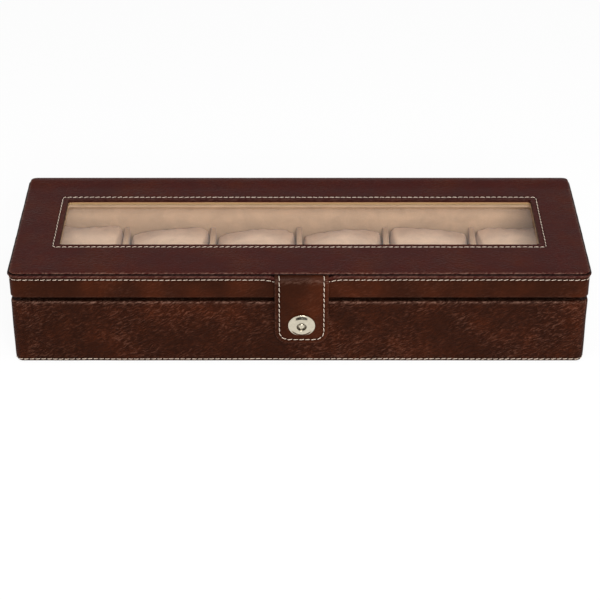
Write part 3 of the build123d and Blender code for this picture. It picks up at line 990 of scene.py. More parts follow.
def smooth_profile(knots, steps=6):
    """Closed profile through knots, rounded by a Catmull-Rom curve: each span is the cubic whose
    slope at a knot is half the way between its neighbours."""
    before, after = np.roll(knots, 1, 0), np.roll(knots, -1, 0)
    beyond = np.roll(knots, -2, 0)
    share = np.linspace(0, 1, steps, endpoint=False)[None, :, None]
    start, end = knots[:, None], after[:, None]
    start_slope = (after - before)[:, None] / 2
    end_slope = (beyond - knots)[:, None] / 2
    curve = (
        (2 * share**3 - 3 * share**2 + 1) * start
        + (share**3 - 2 * share**2 + share) * start_slope
        + (3 * share**2 - 2 * share**3) * end
        + (share**3 - share**2) * end_slope
    )
    return curve.reshape(-1, 2)


# Cushions
def coordinates(mesh):
    """Points of a mesh as an array."""
    points = np.zeros(len(mesh.vertices) * 3)
    mesh.vertices.foreach_get("co", points)
    return points.reshape(-1, 3)


def evaluated_copy(piece):
    """Mesh of a piece with its modifiers applied."""
    bpy.context.view_layer.update()
    graph = bpy.context.evaluated_depsgraph_get()
    return bpy.data.meshes.new_from_object(piece.evaluated_get(graph))


def cushion_start(name, voxel):
    """Even quads over a cushion's CAD solid, drawn in towards its middle to leave room to swell."""
    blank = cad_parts[name].data.copy()
    blank.materials.clear()
    weld(blank, 0.01 * MM)
    low, high = (np.array(corner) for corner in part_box(name))
    middle = (low + high) / 2
    room = (high - low) / 2
    points = coordinates(blank)
    points = middle + (points - middle) * (room - [1.6 * MM, 2.2 * MM, 1.5 * MM]) / room
    blank.vertices.foreach_set("co", points.ravel())
    piece = new_object(f"{name}_start", blank)
    remesh = piece.modifiers.new("Remesh", "REMESH")
    remesh.mode = "VOXEL"
    remesh.voxel_size = voxel
    piece.data = evaluated_copy(piece)
    piece.modifiers.clear()
    return piece


def swell(pieces, settings):
    """Swell closed meshes with cloth pressure, all in one run, and keep each point near home."""
    starts = [coordinates(piece.data) for piece in pieces]
    for piece in pieces:
        cloth = piece.modifiers.new("Cloth", "CLOTH").settings
        cloth.use_pressure = True
        cloth.uniform_pressure_force = settings.pressure
        cloth.effector_weights.gravity = 0
        cloth.tension_stiffness = 12
        cloth.compression_stiffness = 12
        cloth.shear_stiffness = 6
        cloth.bending_stiffness = 0.4
        cloth.quality = 5
    for number in range(1, settings.frames + 1):
        bpy.context.scene.frame_set(number)
    for piece, start in zip(pieces, starts):
        moved = coordinates(evaluated_copy(piece)) - start
        length = np.linalg.norm(moved, axis=1, keepdims=True) + TINY
        kept = settings.swell * np.tanh(length / settings.swell)
        piece.modifiers.clear()
        piece.data.vertices.foreach_set("co", (start + moved * kept / length).ravel())
        piece.data.update()
    bpy.context.scene.frame_set(1)


def soft_limit(values, low, high, give):
    """Values held between two limits: past the give before a limit, they close on it as an
    exponential does."""
    over = np.maximum(values - (high - give), 0)
    under = np.maximum((low + give) - values, 0)
    values = np.where(over > 0, high - give * np.exp(-over / give), values)
    return np.where(under > 0, low + give * np.exp(-under / give), values)


def dress_cushion(points, name, seed, sag):
    """Give a swollen cushion its slot, its sewn seam, its gathers and its uneven corners.

    Points move out from the middle by their cubic size over their largest share of the box, which
    makes it fuller at its edges. Then they are held to the slot.

    The seam is a bell-shaped groove at one height, with ripples that die away above and below.
    The top rises to its middle as a cosine both ways. The two back corners sink by a bell curve
    each, by their own amount. The gathers are waves that die away from the front and back ends.
    """
    low, high = (np.array(corner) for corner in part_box(name))
    middle = (low + high) / 2
    shares = np.abs(points - middle) / ((high - low) / 2) + TINY
    round_size = (shares**3).sum(1, keepdims=True) ** (1 / 3)
    fuller = 1 + 0.45 * (round_size / shares.max(1, keepdims=True) - 1)
    points = middle + (points - middle) * fuller
    seam_height = low[2] + SEAM_SHARE * (high[2] - low[2])
    flat = points - middle
    outward = unit(flat * [1, 0.45, 0])
    angle = np.arctan2(flat[:, 1] * 0.5, flat[:, 0])
    apart = points[:, 2] - seam_height
    ripple = np.cos(angle * RIPPLES + 3 * waves(points, seed)) * bell(apart, 4 * MM)
    groove = bell(apart, 1.1 * MM)
    points = points + outward * (RIPPLE_DEPTH * ripple - SEAM_DEPTH * groove)[:, None]
    reach_x, reach_y = (high[0] - low[0]) / 2, (high[1] - low[1]) / 2
    crown = np.cos(math.pi / 2 * np.clip(flat[:, 0] / reach_x, -1, 1))
    crown = crown * np.cos(math.pi / 2 * np.clip(flat[:, 1] / reach_y, -1, 1))
    points[:, 2] += CROWN_RISE * crown * np.clip(apart / (12 * MM), 0, 1)
    for side, depth in zip((-1, 1), sag):
        apart_x = points[:, 0] - (middle[0] + side * reach_x)
        apart_y = points[:, 1] - high[1]
        sink = depth * bell(apart_x, 17 * MM) * bell(apart_y, 26 * MM)
        points[:, 2] -= sink * np.clip((points[:, 2] - low[2]) / (high[2] - low[2]), 0, 1)
    end = np.minimum(points[:, 1] - low[1], high[1] - points[:, 1])
    gather = waves(points * [2.6, 0.5, 1], seed + 40, shortest=8 * MM, longest=22 * MM)
    above = np.clip(apart / (10 * MM), 0, 1)
    points[:, 2] += GATHER_DEPTH * gather * above * np.exp(-np.maximum(end, 0) / (14 * MM))
    margin = np.array([0.7, 1.4, 0.0]) * MM
    for axis, give in ((0, 0.8 * MM), (1, 1.5 * MM)):
        points[:, axis] = soft_limit(
            points[:, axis], low[axis] - margin[axis], high[axis] + margin[axis], give
        )
    points[:, 2] = soft_limit(points[:, 2], low[2] - 0.05 * MM, high[2] + 1.2 * MM, 0.8 * MM)
    return points, groove


# Materials

# Settings of the nodes that multiply, mix two colours and multiply one colour by another
TIMES = {"operation": "MULTIPLY"}
TIMES_PLUS = {"operation": "MULTIPLY_ADD"}
OVER = {"data_type": "RGBA"}
TINT = {"data_type": "RGBA", "blend_type": "MULTIPLY"}

# Values that a noise rarely leaves
NOISE_SPAN = {"From Min": 0.3, "From Max": 0.7}


def plug(tree, node, inputs):
    """Give a node's inputs their values, or links from sockets or from nodes' first outputs."""
    for name, value in inputs.items():
        socket = node.inputs[name]
        if isinstance(value, bpy.types.Node):
            value = next(output for output in value.outputs if output.enabled)
        if isinstance(value, bpy.types.NodeSocket):
            tree.links.new(value, socket)
        elif socket.type == "RGBA":
            socket.default_value = (*value, 1)
        else:
            socket.default_value = value


def add(tree, kind, inputs=None, stops=(), **settings):
    """Add a node with its settings, colour stops, and input values or links."""
    node = tree.nodes.new(kind)
    for name, value in settings.items():
        setattr(node, name, value)
    plug(tree, node, inputs or {})
    for number, (place, colour) in enumerate(stops):
        elements = node.color_ramp.elements
        element = elements[number] if number < 2 else elements.new(place)
        element.position = place
        element.color = (*colour, 1)
    return node


def cells(size):
    """Scale of a pattern whose cells are one size across, in metres."""
    return 1 / size


def empty_material(name):
    """New material with nothing in its node tree."""
    material = bpy.data.materials.new(name)
    material.use_nodes = True
    material.node_tree.nodes.clear()
    return material, material.node_tree


def start_material(name):
    """New material with a shader, an output and the piece's own coordinates."""
    material, tree = empty_material(name)
    shader = add(tree, "ShaderNodeBsdfPrincipled")
    add(tree, "ShaderNodeOutputMaterial", {"Surface": shader})
    place = add(tree, "ShaderNodeTexCoord").outputs["Object"]
    return material, tree, shader, place


def leatherette(name, ground, patch, cloudiness, grain, relief, gloss):
    """Embossed PU leatherette: a dark film rubbed back to a warmer one in cloudy patches, and
    pressed with short folds that rise to the right. Fold crests and marked edges are paler, partly
    wear and partly painted highlight; marked seams, grooves and joints are darker, partly seam and
    partly painted shade; and the film has a low satin sheen."""
    material, tree, shader, place = start_material(name)

    # Cloudy patches, and a finer mottle that also makes the sheen uneven
    cloud = add(
        tree, "ShaderNodeTexNoise", {"Vector": place, "Scale": cells(26 * MM), "Detail": 4.0}
    )
    cloudy = add(
        tree,
        "ShaderNodeMapRange",
        {"Value": cloud, "From Min": 0.4, "From Max": 0.75, "To Max": cloudiness},
        interpolation_type="SMOOTHSTEP",
    )
    colour = add(tree, "ShaderNodeMix", {0: cloudy, 6: ground, 7: patch}, **OVER)
    mottle = add(
        tree, "ShaderNodeTexNoise", {"Vector": place, "Scale": cells(8 * MM), "Detail": 5.0}
    )
    shade = add(
        tree, "ShaderNodeMapRange", {"Value": mottle, **NOISE_SPAN, "To Min": 0.9, "To Max": 1.1}
    )
    film = {"Value": mottle, **NOISE_SPAN, "To Min": gloss - 0.06, "To Max": gloss + 0.08}
    film = add(tree, "ShaderNodeMapRange", film)

    # Folds: noise laid out on a bent slant, in areas that are more and less creased
    warp = add(
        tree, "ShaderNodeTexNoise", {"Vector": place, "Scale": cells(7 * MM), "Detail": 3.0}
    )
    bent = {0: warp.outputs["Color"], 1: (3.5 * MM,) * 3, 2: place}
    bent = add(tree, "ShaderNodeVectorMath", bent, **TIMES_PLUS)
    laid = {0: bent, "Rotation": (0, math.radians(-25), 0), "Scale": (3.6, 1.2, 1)}
    laid = add(tree, "ShaderNodeMapping", laid, vector_type="TEXTURE")
    folds = {"Vector": laid, "Scale": cells(grain), "Detail": 2.5, "Roughness": 0.6}
    folds = add(tree, "ShaderNodeTexNoise", folds)
    area = add(
        tree, "ShaderNodeTexNoise", {"Vector": place, "Scale": cells(24 * MM), "Detail": 2.0}
    )
    creased = {"Value": area, "From Min": 0.32, "From Max": 0.58, "To Min": 0.4}
    creased = add(tree, "ShaderNodeMapRange", creased)
    height = add(
        tree, "ShaderNodeMapRange", {"Value": folds, "From Min": 0.4, "From Max": 0.66}
    )
    raised = add(tree, "ShaderNodeMath", {0: height, 1: creased}, **TIMES)
    bump = add(
        tree, "ShaderNodeBump", {"Height": raised, "Strength": 1.0, "Distance": relief}
    )

    # Darker between folds and paler on them, partly the grain's own tone and partly painted shade
    # and highlight; darker still where the mesh is marked, which is painted shade in grooves and
    # joints, and partly in seams
    rubbed = {"Value": raised, "To Min": 1 - 560 * relief, "To Max": 1 + 1200 * relief}
    rubbed = add(tree, "ShaderNodeMapRange", rubbed)
    rubbed = add(tree, "ShaderNodeMath", {0: rubbed, 1: shade}, **TIMES)
    seam = add(tree, "ShaderNodeAttribute", attribute_name="seam").outputs["Fac"]
    shadow = add(tree, "ShaderNodeMapRange", {"Value": seam, "To Min": 1.0, "To Max": 0.12})
    tone = add(tree, "ShaderNodeMath", {0: rubbed, 1: shadow}, **TIMES)
    colour = add(tree, "ShaderNodeMix", {0: 1.0, 6: colour, 7: tone}, **TINT)

    # Pale on marked edges and on the crests of folds: partly wear and partly painted highlight
    edge = add(tree, "ShaderNodeAttribute", attribute_name="edge").outputs["Fac"]
    crests = {"Value": raised, "From Min": 0.5, "From Max": 1.0, "To Max": 430 * relief}
    crests = add(tree, "ShaderNodeMapRange", crests)
    wear_and_highlight = add(tree, "ShaderNodeMath", {0: edge, 1: height, 2: crests}, **TIMES_PLUS)
    wear_and_highlight = add(tree, "ShaderNodeMath", {0: wear_and_highlight, 1: 0.55}, use_clamp=True, **TIMES)
    colour = add(tree, "ShaderNodeMix", {0: wear_and_highlight, 6: colour, 7: linear("846557")}, **OVER)
    plug(
        tree,
        shader,
        {"Base Color": colour, "Roughness": film, "Normal": bump, "Specular IOR Level": 0.035},
    )
    return material


def suede(name, colour, nap=1.0):
    """Microfibre suede: short nap brushed in soft patches, matt, with a pale bloom at a slant.
    The fibres are drawn half a millimetre wide, coarser than real ones, so that they show."""
    material, tree, shader, place = start_material(name)
    brushed = {"Vector": place, "Scale": cells(9 * MM), "Detail": 4.0, "Distortion": 0.6}
    brushed = add(tree, "ShaderNodeTexNoise", brushed)
    tone = add(
        tree, "ShaderNodeMapRange", {"Value": brushed, **NOISE_SPAN, "To Min": 0.9, "To Max": 1.07}
    )
    fibre = add(
        tree, "ShaderNodeTexNoise", {"Vector": place, "Scale": cells(0.5 * MM), "Detail": 2.0}
    )
    fuzz = add(
        tree, "ShaderNodeMapRange", {"Value": fibre, **NOISE_SPAN, "To Min": 0.93, "To Max": 1.05}
    )
    both = add(tree, "ShaderNodeMath", {0: tone, 1: fuzz}, **TIMES)
    tinted = add(tree, "ShaderNodeMix", {0: 1.0, 6: colour, 7: both}, **TINT)
    seam = add(tree, "ShaderNodeAttribute", attribute_name="seam").outputs["Fac"]
    shadow = add(tree, "ShaderNodeMapRange", {"Value": seam, "To Min": 1.0, "To Max": 0.7})
    tinted = add(tree, "ShaderNodeMix", {0: 1.0, 6: tinted, 7: shadow}, **TINT)
    bump = add(
        tree, "ShaderNodeBump", {"Height": fibre, "Strength": 0.5 * nap, "Distance": 0.15 * MM}
    )
    patches = {"Height": brushed, "Strength": 0.35 * nap, "Distance": 0.8 * MM, "Normal": bump}
    bump = add(tree, "ShaderNodeBump", patches)
    plug(
        tree,
        shader,
        {
            "Base Color": tinted,
            "Normal": bump,
            "Roughness": 0.95,
            "Specular IOR Level": 0.15,
            "Sheen Weight": 0.25,
            "Sheen Roughness": 0.5,
        },
    )
    return material


def twisted_thread(name, colour):
    """Twisted polyester thread: pale strands wound at a slant, which leave dark lines between.
    The lines stand about two millimetres apart, coarser than real ones, so that they show."""
    material, tree, shader, _ = start_material(name)
    along = add(tree, "ShaderNodeUVMap", uv_map="UVMap")
    strands = add(
        tree,
        "ShaderNodeTexWave",
        {"Vector": along, "Scale": 0.9, "Distortion": 0.0},
        bands_direction="DIAGONAL",
    ).outputs["Fac"]
    tone = add(tree, "ShaderNodeMapRange", {"Value": strands, "To Min": 0.75, "To Max": 1.05})
    tinted = add(tree, "ShaderNodeMix", {0: 1.0, 6: colour, 7: tone}, **TINT)
    bump = add(
        tree, "ShaderNodeBump", {"Height": strands, "Strength": 0.6, "Distance": 0.08 * MM}
    )
    plug(
        tree,
        shader,
        {"Base Color": tinted, "Normal": bump, "Roughness": 0.6, "Sheen Weight": 0.2},
    )
    return material


def plated(name, colour, roughness, wear):
    """Nickel-plated steel, stamped and polished: bright, with faint rub marks and dull spots.
    The marks are drawn up to two millimetres wide, coarser than real ones, so that they show."""
    material, tree, shader, place = start_material(name)
    rubbed = add(
        tree, "ShaderNodeTexNoise", {"Vector": place, "Scale": cells(2 * MM), "Detail": 5.0}
    )
    marks = {"Value": rubbed, "From Min": 0.35, "From Max": 0.7}
    dull = add(
        tree, "ShaderNodeMapRange", {**marks, "To Min": roughness, "To Max": roughness + wear}
    )
    tone = add(tree, "ShaderNodeMapRange", {**marks, "To Min": 1.0, "To Max": 0.9})
    tinted = add(tree, "ShaderNodeMix", {0: 1.0, 6: colour, 7: tone}, **TINT)
    # Painted shade: the mark on the mesh mixes in a dark colour in the snap's groove
    groove = add(tree, "ShaderNodeAttribute", attribute_name="seam").outputs["Fac"]
    tinted = add(tree, "ShaderNodeMix", {0: groove, 6: tinted, 7: linear("4A4032")}, **OVER)
    bump = add(
        tree, "ShaderNodeBump", {"Height": rubbed, "Strength": 0.05, "Distance": 0.05 * MM}
    )
    plug(
        tree,
        shader,
        {"Base Color": tinted, "Roughness": dull, "Normal": bump, "Metallic": 1.0},
    )
    return material


def pressed_board(name):
    """Raw fibreboard: flat tan with fine fibres."""
    material, tree, shader, place = start_material(name)
    fibres = add(
        tree, "ShaderNodeTexNoise", {"Vector": place, "Scale": cells(0.9 * MM), "Detail": 6.0}
    )
    colour = add(
        tree,
        "ShaderNodeValToRGB",
        {0: fibres},
        stops=((0.3, linear("8A6B48")), (0.7, linear("B39268"))),
    )
    bump = add(
        tree, "ShaderNodeBump", {"Height": fibres, "Strength": 0.4, "Distance": 0.1 * MM}
    )
    plug(tree, shader, {"Base Color": colour, "Normal": bump, "Roughness": 0.85})
    return material


def cut_edge(name):
    """Tan bonded strip seen on its cut: thin layers one above the other, slightly glossy."""
    material, tree, shader, place = start_material(name)
    height = add(tree, "ShaderNodeSeparateXYZ", {0: place}).outputs["Z"]
    wander = add(
        tree, "ShaderNodeTexNoise", {"Vector": place, "Scale": cells(30 * MM), "Detail": 2.0}
    )
    shifted = add(tree, "ShaderNodeMath", {0: wander, 1: 1.2 * MM, 2: height}, **TIMES_PLUS)
    layers = {"Value": shifted, "From Min": BINDING_LOW.z, "From Max": BINDING_HIGH.z}
    layers = add(tree, "ShaderNodeMapRange", layers)
    colour = add(
        tree,
        "ShaderNodeValToRGB",
        {0: layers},
        stops=(
            (0.0, linear("987854")),
            (0.42, linear("A78960")),
            (0.56, linear("836D42")),
            (0.7, linear("A3825C")),
            (1.0, linear("926848")),
        ),
    )
    fibres = add(
        tree, "ShaderNodeTexNoise", {"Vector": place, "Scale": cells(0.6 * MM), "Detail": 3.0}
    )
    bump = add(
        tree, "ShaderNodeBump", {"Height": fibres, "Strength": 0.3, "Distance": 0.1 * MM}
    )
    plug(tree, shader, {"Base Color": colour, "Normal": bump, "Roughness": 0.5})
    return material


def clear_sheet(name):
    """Polished acrylic sheet: clear straight on, with a mirror skin that grows at a slant."""
    material, tree = empty_material(name)
    place = add(tree, "ShaderNodeTexCoord").outputs["Object"]
    ripple = add(
        tree, "ShaderNodeTexNoise", {"Vector": place, "Scale": cells(60 * MM), "Detail": 1.0}
    )
    bump = add(
        tree, "ShaderNodeBump", {"Height": ripple, "Strength": 0.15, "Distance": 0.3 * MM}
    )
    coating = add(
        tree,
        "ShaderNodeBsdfPrincipled",
        {"Base Color": linear("F4F4F4"), "Metallic": 1.0, "Roughness": 0.03, "Normal": bump},
    )
    through = add(tree, "ShaderNodeBsdfTransparent", {0: (1, 1, 1)})
    slant = add(tree, "ShaderNodeFresnel", {"IOR": 1.3})
    leaving = add(tree, "ShaderNodeNewGeometry").outputs["Backfacing"]
    entering = add(tree, "ShaderNodeMath", {0: 1.0, 1: leaving}, operation="SUBTRACT")
    share = add(tree, "ShaderNodeMath", {0: slant, 1: entering}, **TIMES)
    both = add(tree, "ShaderNodeMixShader", {0: share, 1: through, 2: coating})
    add(tree, "ShaderNodeOutputMaterial", {"Surface": both})
    return material


# Operators
def leathers(context):
    """The case's three leathers, made once: base, lid top, and lid walls with the tab."""
    names = ("Pebbled leatherette", "Smooth leatherette", "Plain leatherette")
    found = [bpy.data.materials.get(name) for name in names]
    if all(found):
        return found
    look = context.scene.watch_box_leather
    colour, patch, top = tuple(look.colour), tuple(look.patch), tuple(look.top)
    return [
        leatherette(names[0], colour, patch, 0.55, look.grain, 0.6 * MM, 0.45),
        leatherette(names[1], top, patch, 0.4, look.grain, 0.12 * MM, 0.42),
        leatherette(names[2], colour, patch, 0.7, look.grain, 0.15 * MM, 0.42),
    ]


def suedes(context):
    """The two suedes, made once: lining and cushion."""
    names = ("Lining suede", "Cushion suede")
    found = [bpy.data.materials.get(name) for name in names]
    if all(found):
        return found
    look = context.scene.watch_box_cushion
    return [suede(names[0], tuple(look.lining), 0.8), suede(names[1], tuple(look.colour))]


class WATCH_BOX_OT_cover_case(bpy.types.Operator):
    """Cover the base and the lid in leather, with the bead between the lid's walls and top"""

    bl_idname = "watch_box.cover_case"
    bl_label = "Cover the Case"

    def execute(self, context):
        thread = context.scene.watch_box_thread
        softness = context.scene.watch_box_leather.softness
        pebbled, smooth, plain = leathers(context)
        skins = (
            ("base_leather", base_skin(thread, softness), pebbled, "base", "base_leather_band"),
            ("lid_leather", band_skin(thread, softness), plain, "lid", "lid_leather_band"),
            ("lid_bead", bead_skin(softness), smooth, "lid", "lid_rim_bead"),
            ("lid_panel", panel_skin(thread, softness), smooth, "lid", "lid_leather_top"),
            ("lid_groove_shade", painted_groove_shade(), smooth, "lid", None),
        )
        for name, skin, material, body, node in skins:
            points, marks = skin[0], skin[-1]
            faces = closed_quads(*points.shape[:2])
            mesh = new_mesh(name, points.reshape(-1, 3), faces, marks)
            new_piece(name, mesh, material, body, [node] if node else ())
        paint(["base_leather_underside"], pebbled)
        return {"FINISHED"}


class WATCH_BOX_OT_cut_tab(bpy.types.Operator):
    """Cut the tab from two layers of leather that bend where they leave the groove"""

    bl_idname = "watch_box.cut_tab"
    bl_label = "Cut the Tab"

    def execute(self, context):
        thread = context.scene.watch_box_thread
        softness = context.scene.watch_box_leather.softness
        leather = leathers(context)[2]
        layers = (
            ("tab_strap", strap_sheets(thread, softness), "tab_outer_leather"),
            ("tab_backing", backing_sheets(), "tab_back_leather"),
        )
        for name, sheets, node in layers:
            mesh = new_mesh(name, *sheets)
            piece = new_piece(name, mesh, leather, stands_for=[node])
            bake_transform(piece)
        return {"FINISHED"}


class WATCH_BOX_OT_sew(bpy.types.Operator):
    """Sew the topstitching round the window, the lid, the base and the tab"""

    bl_idname = "watch_box.sew"
    bl_label = "Sew the Seams"

    def execute(self, context):
        thread = context.scene.watch_box_thread
        softness = context.scene.watch_box_leather.softness
        material = twisted_thread("Twisted polyester thread", tuple(thread.colour))
        closed = (
            ("base_thread", base_skin(thread, softness), "base"),
            ("lid_thread", band_skin(thread, softness), "lid"),
            ("window_thread", panel_skin(thread, softness), "lid"),
        )
        for seed, (name, skin, body) in enumerate(closed):
            mesh = ring_thread(name, skin[0], skin[1], thread, seed)
            new_piece(name, mesh, material, body)
        path, share, count = strap_path(thread)
        outside = (TAB_JOINT - TAB_FACE) / 2 - 0.2 * MM
        line = strap_point(path[:, 0], path[:, 1], outside)
        normals = unit(strap_point(path[:, 0], path[:, 1], outside + MM) - line)
        mesh = thread_mesh("tab_thread", *sew(line, normals, share, count, thread, 7))
        piece = new_piece("tab_thread", mesh, material)
        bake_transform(piece)
        return {"FINISHED"}


class WATCH_BOX_OT_fit_snap(bpy.types.Operator):
    """Fit the snap's cap with its rolled rim, sunk middle and rivet"""

    bl_idname = "watch_box.fit_snap"
    bl_label = "Fit the Snap"

    def execute(self, context):
        nickel = plated(
            "Polished nickel plate", tuple(context.scene.watch_box_snap.nickel), 0.1, 0.06
        )
        centre = (CAP_LOW + CAP_HIGH) / 2
        rim = (CAP_HIGH.x - CAP_LOW.x) / 2

        # The cap's ends lie on the leather, and the knob's foot reaches through it
        cap = CAP_SHARES * (rim, CAP_HIGH.y - CAP_LOW.y)
        cap[[0, -1], 1] = 0.02 * MM
        knob = KNOB_SHARES * ((RIVET_HIGH.x - RIVET_LOW.x) / 2, TAB_FACE - RIVET_LOW.y)
        knob[[0, -1], 1] = -1.5 * MM
        knob = smooth_profile(knob, steps=4)
        knob[:, 0] = np.maximum(knob[:, 0], 0)
        turned = (
            ("snap_ring", smooth_profile(cap), "snap_cap"),
            ("snap_knob", knob, "snap_rivet"),
        )
        for name, profile, node in turned:
            mesh = turned_mesh(name, profile, centre, CAP_GROOVE * rim)
            new_piece(name, mesh, nickel, "tab", [node])
        paint(["snap_striker_plate"], nickel)
        return {"FINISHED"}


class WATCH_BOX_OT_line_box(bpy.types.Operator):
    """Line the box with suede: floor, walls, dividers and the lid's inside"""

    bl_idname = "watch_box.line_box"
    bl_label = "Line the Box"

    def execute(self, context):
        lining = suedes(context)[0]
        names = ["floor", "front", "back", "left", "right"]
        cards = [(f"liner_{name}", 0.7 * MM) for name in names]
        cards += [(f"divider_{number}", 0.55 * MM) for number in range(1, 6)]
        for seed, (node, edge) in enumerate(cards):
            low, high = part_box(node)
            points, faces = suede_card(low, high, seed + 60, edge)
            name = f"{node}_suede"
            new_piece(name, new_mesh(name, points, faces), lining, "base", [node])
        paint(["lid_lining_frame", "lid_side_lining"], lining)
        return {"FINISHED"}


class WATCH_BOX_OT_fill_cushions(bpy.types.Operator):
    """Fill the six cushions by cloth pressure and sew their seams"""

    bl_idname = "watch_box.fill_cushions"
    bl_label = "Fill the Cushions"

    # How far each cushion's back left and back right corners sink, in millimetres
    SAGS = ((0.5, 1.2), (6.6, 2.8), (8.0, 4.8), (7.8, 5.4), (2.2, 6.2), (3.2, 2.6))

    def execute(self, context):
        settings = context.scene.watch_box_cushion
        material = suedes(context)[1]
        pieces = [cushion_start(name, settings.voxel) for name in CUSHIONS]
        swell(pieces, settings)
        for seed, (name, piece) in enumerate(zip(CUSHIONS, pieces)):
            smooth = piece.modifiers.new("Subdivision", "SUBSURF")
            smooth.levels = 1
            smooth.render_levels = 1
            mesh = evaluated_copy(piece)
            bpy.data.objects.remove(piece)
            sag = [depth * MM for depth in self.SAGS[seed]]
            points, seam = dress_cushion(coordinates(mesh), name, seed + 80, sag)
            mesh.vertices.foreach_set("co", points.ravel())
            layer = mesh.attributes.new("seam", "FLOAT", "POINT")
            layer.data.foreach_set("value", seam.astype(np.float32))
            mesh.shade_smooth()
            cushion = new_piece(f"{name}_cover", mesh, material, name, [name])
        return {"FINISHED"}


class WATCH_BOX_OT_glaze(bpy.types.Operator):
    """Glaze the window and edge its opening"""

    bl_idname = "watch_box.glaze"
    bl_label = "Glaze the Window"

    def execute(self, context):
        paint(["window_pane"], clear_sheet("Clear acrylic sheet"))
        paint(["window_binding"], cut_edge("Bonded edge strip"))
        return {"FINISHED"}


class WATCH_BOX_OT_finish_hardware(bpy.types.Operator):
    """Finish the boards, hinges, screws, washer and magnet"""

    bl_idname = "watch_box.finish_hardware"
    bl_label = "Finish the Hardware"

    def execute(self, context):
        board = pressed_board("Raw fibreboard")
        nickel = plated(
            "Brushed nickel hinge", tuple(context.scene.watch_box_snap.nickel), 0.22, 0.14
        )
        steel = plated("Zinc-plated steel", linear("A9ABAD"), 0.35, 0.15)
        magnet = plated("Ferrite magnet", linear("33302E"), 0.5, 0.2)
        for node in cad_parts:
            if node.endswith("_board"):
                paint([node], board)
            elif "hinge" in node:
                paint([node], nickel)
        paint(["snap_striker_washer", "snap_magnet_cup"], steel)
        paint(["snap_magnet"], magnet)
        return {"FINISHED"}


def lamp(name, power, size, place, target):
    """Rectangular soft lamp that faces a target."""
    light = bpy.data.lights.new(name, "AREA")
    light.energy = power
    light.shape = "RECTANGLE"
    light.size, light.size_y = size
    holder = new_object(name, light)
    holder.location = place
    holder.rotation_euler = (Vector(target) - Vector(place)).to_track_quat("-Z", "Y").to_euler()


def stage_sheet(name, points, material):
    """Sheet of the stage over a grid of points."""
    rows, columns = points.shape[:2]
    faces = quads(np.arange(rows * columns).reshape(rows, columns))
    mesh = bpy.data.meshes.new(name)
    mesh.from_pydata(points.reshape(-1, 3).tolist(), [], faces.tolist())
    mesh.materials.append(material)
    new_object(name, mesh)


def seen_rays(tree):
    """One for rays from the camera, straight or by way of metal or glass, and nought for light."""
    path = add(tree, "ShaderNodeLightPath").outputs
    seen = {0: path["Is Camera Ray"], 1: path["Is Glossy Ray"]}
    seen = add(tree, "ShaderNodeMath", seen, operation="MAXIMUM")
    seen = {0: seen, 1: path["Is Transmission Ray"]}
    return add(tree, "ShaderNodeMath", seen, operation="MAXIMUM")


class WATCH_BOX_OT_set_stage(bpy.types.Operator):
    """Set the pale floor, the soft lamps, the white surroundings and the camera"""

    bl_idname = "watch_box.set_stage"
    bl_label = "Set the Stage"

    def execute(self, context):
        scene = context.scene
        stage = scene.watch_box_stage
        self.lay_floor(stage)
        self.hang_card()
        self.surround(scene, stage)
        lamp("Top lamp", stage.top_lamp, *TOP_LAMP)
        lamp("Front lamp", stage.front_lamp, *FRONT_LAMP)
        camera = bpy.data.cameras.new("Camera")
        camera.lens = stage.lens
        camera.sensor_width = 36.0
        camera.clip_end = 20.0
        scene.camera = new_object("Camera", camera)
        scene.camera.location = CAMERA_PLACE
        scene.camera.rotation_euler = (math.radians(90 - CAMERA_DOWN), 0, 0)
        scene.view_settings.view_transform = "Standard"
        return {"FINISHED"}

    def lay_floor(self, stage):
        """Level sheet under the box, mostly plain white to the camera and lit for the rest,
        which thins the box's shadow."""
        x, y = np.meshgrid(*[np.linspace(-FLOOR_SIDE, FLOOR_SIDE, 5)] * 2)
        points = np.stack([x, y, np.full_like(x, CAD_LOW.z - 0.05 * MM)], -1)
        material, tree = empty_material("Matt white paper")
        matt = add(tree, "ShaderNodeBsdfDiffuse", {0: stage.floor})
        white = add(tree, "ShaderNodeEmission", {"Strength": 1.0})
        share = add(tree, "ShaderNodeMath", {0: seen_rays(tree), 1: FLOOR_WHITE}, **TIMES)
        both = add(tree, "ShaderNodeMixShader", {0: share, 1: matt, 2: white})
        add(tree, "ShaderNodeOutputMaterial", {"Surface": both})
        stage_sheet("Floor", points, material)

    def hang_card(self):
        """Dark matt card behind the camera, which gives the metal something to mirror."""
        steps = np.linspace(-CARD_HALF, CARD_HALF, 5)
        x, z = np.meshgrid(steps, np.linspace(CARD_LOW, CARD_HIGH, 3))
        points = np.stack([x, np.full_like(x, CARD_PLACE), z], -1)
        material, tree, shader, _ = start_material("Black card")
        plug(tree, shader, {"Base Color": linear("0A0A0A"), "Roughness": 0.9})
        stage_sheet("Dark card", points, material)

    def surround(self, scene, stage):
        """White surroundings to the camera, metal and glass, and a plain level of light."""
        scene.world = bpy.data.worlds.new("Studio")
        scene.world.use_nodes = True
        tree = scene.world.node_tree
        tree.nodes.clear()
        strength = {"Value": seen_rays(tree), "To Min": stage.ambient, "To Max": 1.0}
        strength = add(tree, "ShaderNodeMapRange", strength)
        back = add(tree, "ShaderNodeBackground", {0: (1, 1, 1), 1: strength})
        add(tree, "ShaderNodeOutputWorld", {"Surface": back})


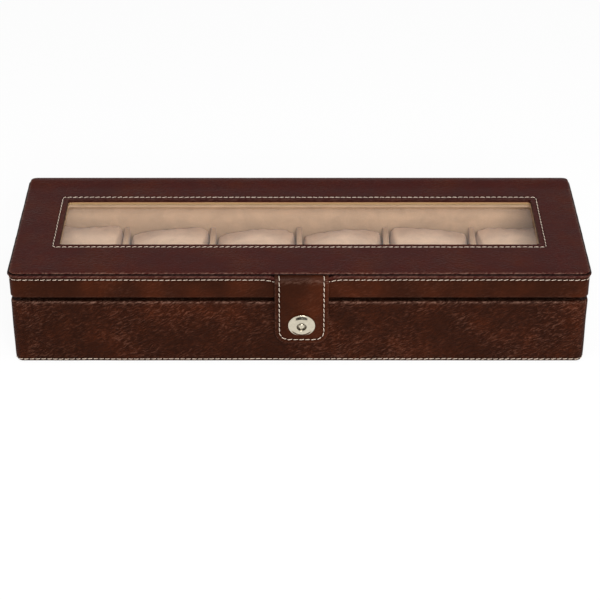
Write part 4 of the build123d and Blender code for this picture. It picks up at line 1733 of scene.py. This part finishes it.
class WATCH_BOX_PT_sidebar(bpy.types.Panel):
    """Lists the steps that dress the box"""

    bl_label = "Watch Box"
    bl_space_type = "VIEW_3D"
    bl_region_type = "UI"
    bl_category = "Watch Box"

    def draw(self, context):
        """The steps as buttons, then the settings, a box for each group."""
        for operator in OPERATORS:
            self.layout.operator(operator.bl_idname)
        for name in SETTINGS:
            group = getattr(context.scene, name)
            box = self.layout.box()
            for value in group.bl_rna.properties.keys():
                if value not in ("rna_type", "name"):
                    box.prop(group, value)


SETTINGS = {
    "watch_box_leather": LeatherSettings,
    "watch_box_thread": ThreadSettings,
    "watch_box_cushion": CushionSettings,
    "watch_box_snap": SnapSettings,
    "watch_box_stage": StageSettings,
}
OPERATORS = (
    WATCH_BOX_OT_set_stage,
    WATCH_BOX_OT_cover_case,
    WATCH_BOX_OT_cut_tab,
    WATCH_BOX_OT_sew,
    WATCH_BOX_OT_fit_snap,
    WATCH_BOX_OT_line_box,
    WATCH_BOX_OT_fill_cushions,
    WATCH_BOX_OT_glaze,
    WATCH_BOX_OT_finish_hardware,
)


def register():
    """Add the settings, the steps and the panel."""
    for name, group in SETTINGS.items():
        bpy.utils.register_class(group)
        setattr(bpy.types.Scene, name, PointerProperty(type=group))
    for operator in OPERATORS:
        bpy.utils.register_class(operator)
    bpy.utils.register_class(WATCH_BOX_PT_sidebar)


def unregister():
    """Take away the panel, the steps and the settings."""
    bpy.utils.unregister_class(WATCH_BOX_PT_sidebar)
    for operator in reversed(OPERATORS):
        bpy.utils.unregister_class(operator)
    for name, group in SETTINGS.items():
        delattr(bpy.types.Scene, name)
        bpy.utils.unregister_class(group)


def main():
    """Dress the box step by step."""
    register()
    bpy.ops.watch_box.set_stage()
    bpy.ops.watch_box.cover_case()
    bpy.ops.watch_box.cut_tab()
    bpy.ops.watch_box.sew()
    bpy.ops.watch_box.fit_snap()
    bpy.ops.watch_box.line_box()
    bpy.ops.watch_box.fill_cushions()
    bpy.ops.watch_box.glaze()
    bpy.ops.watch_box.finish_hardware()


if __name__ == "__main__":
    main()
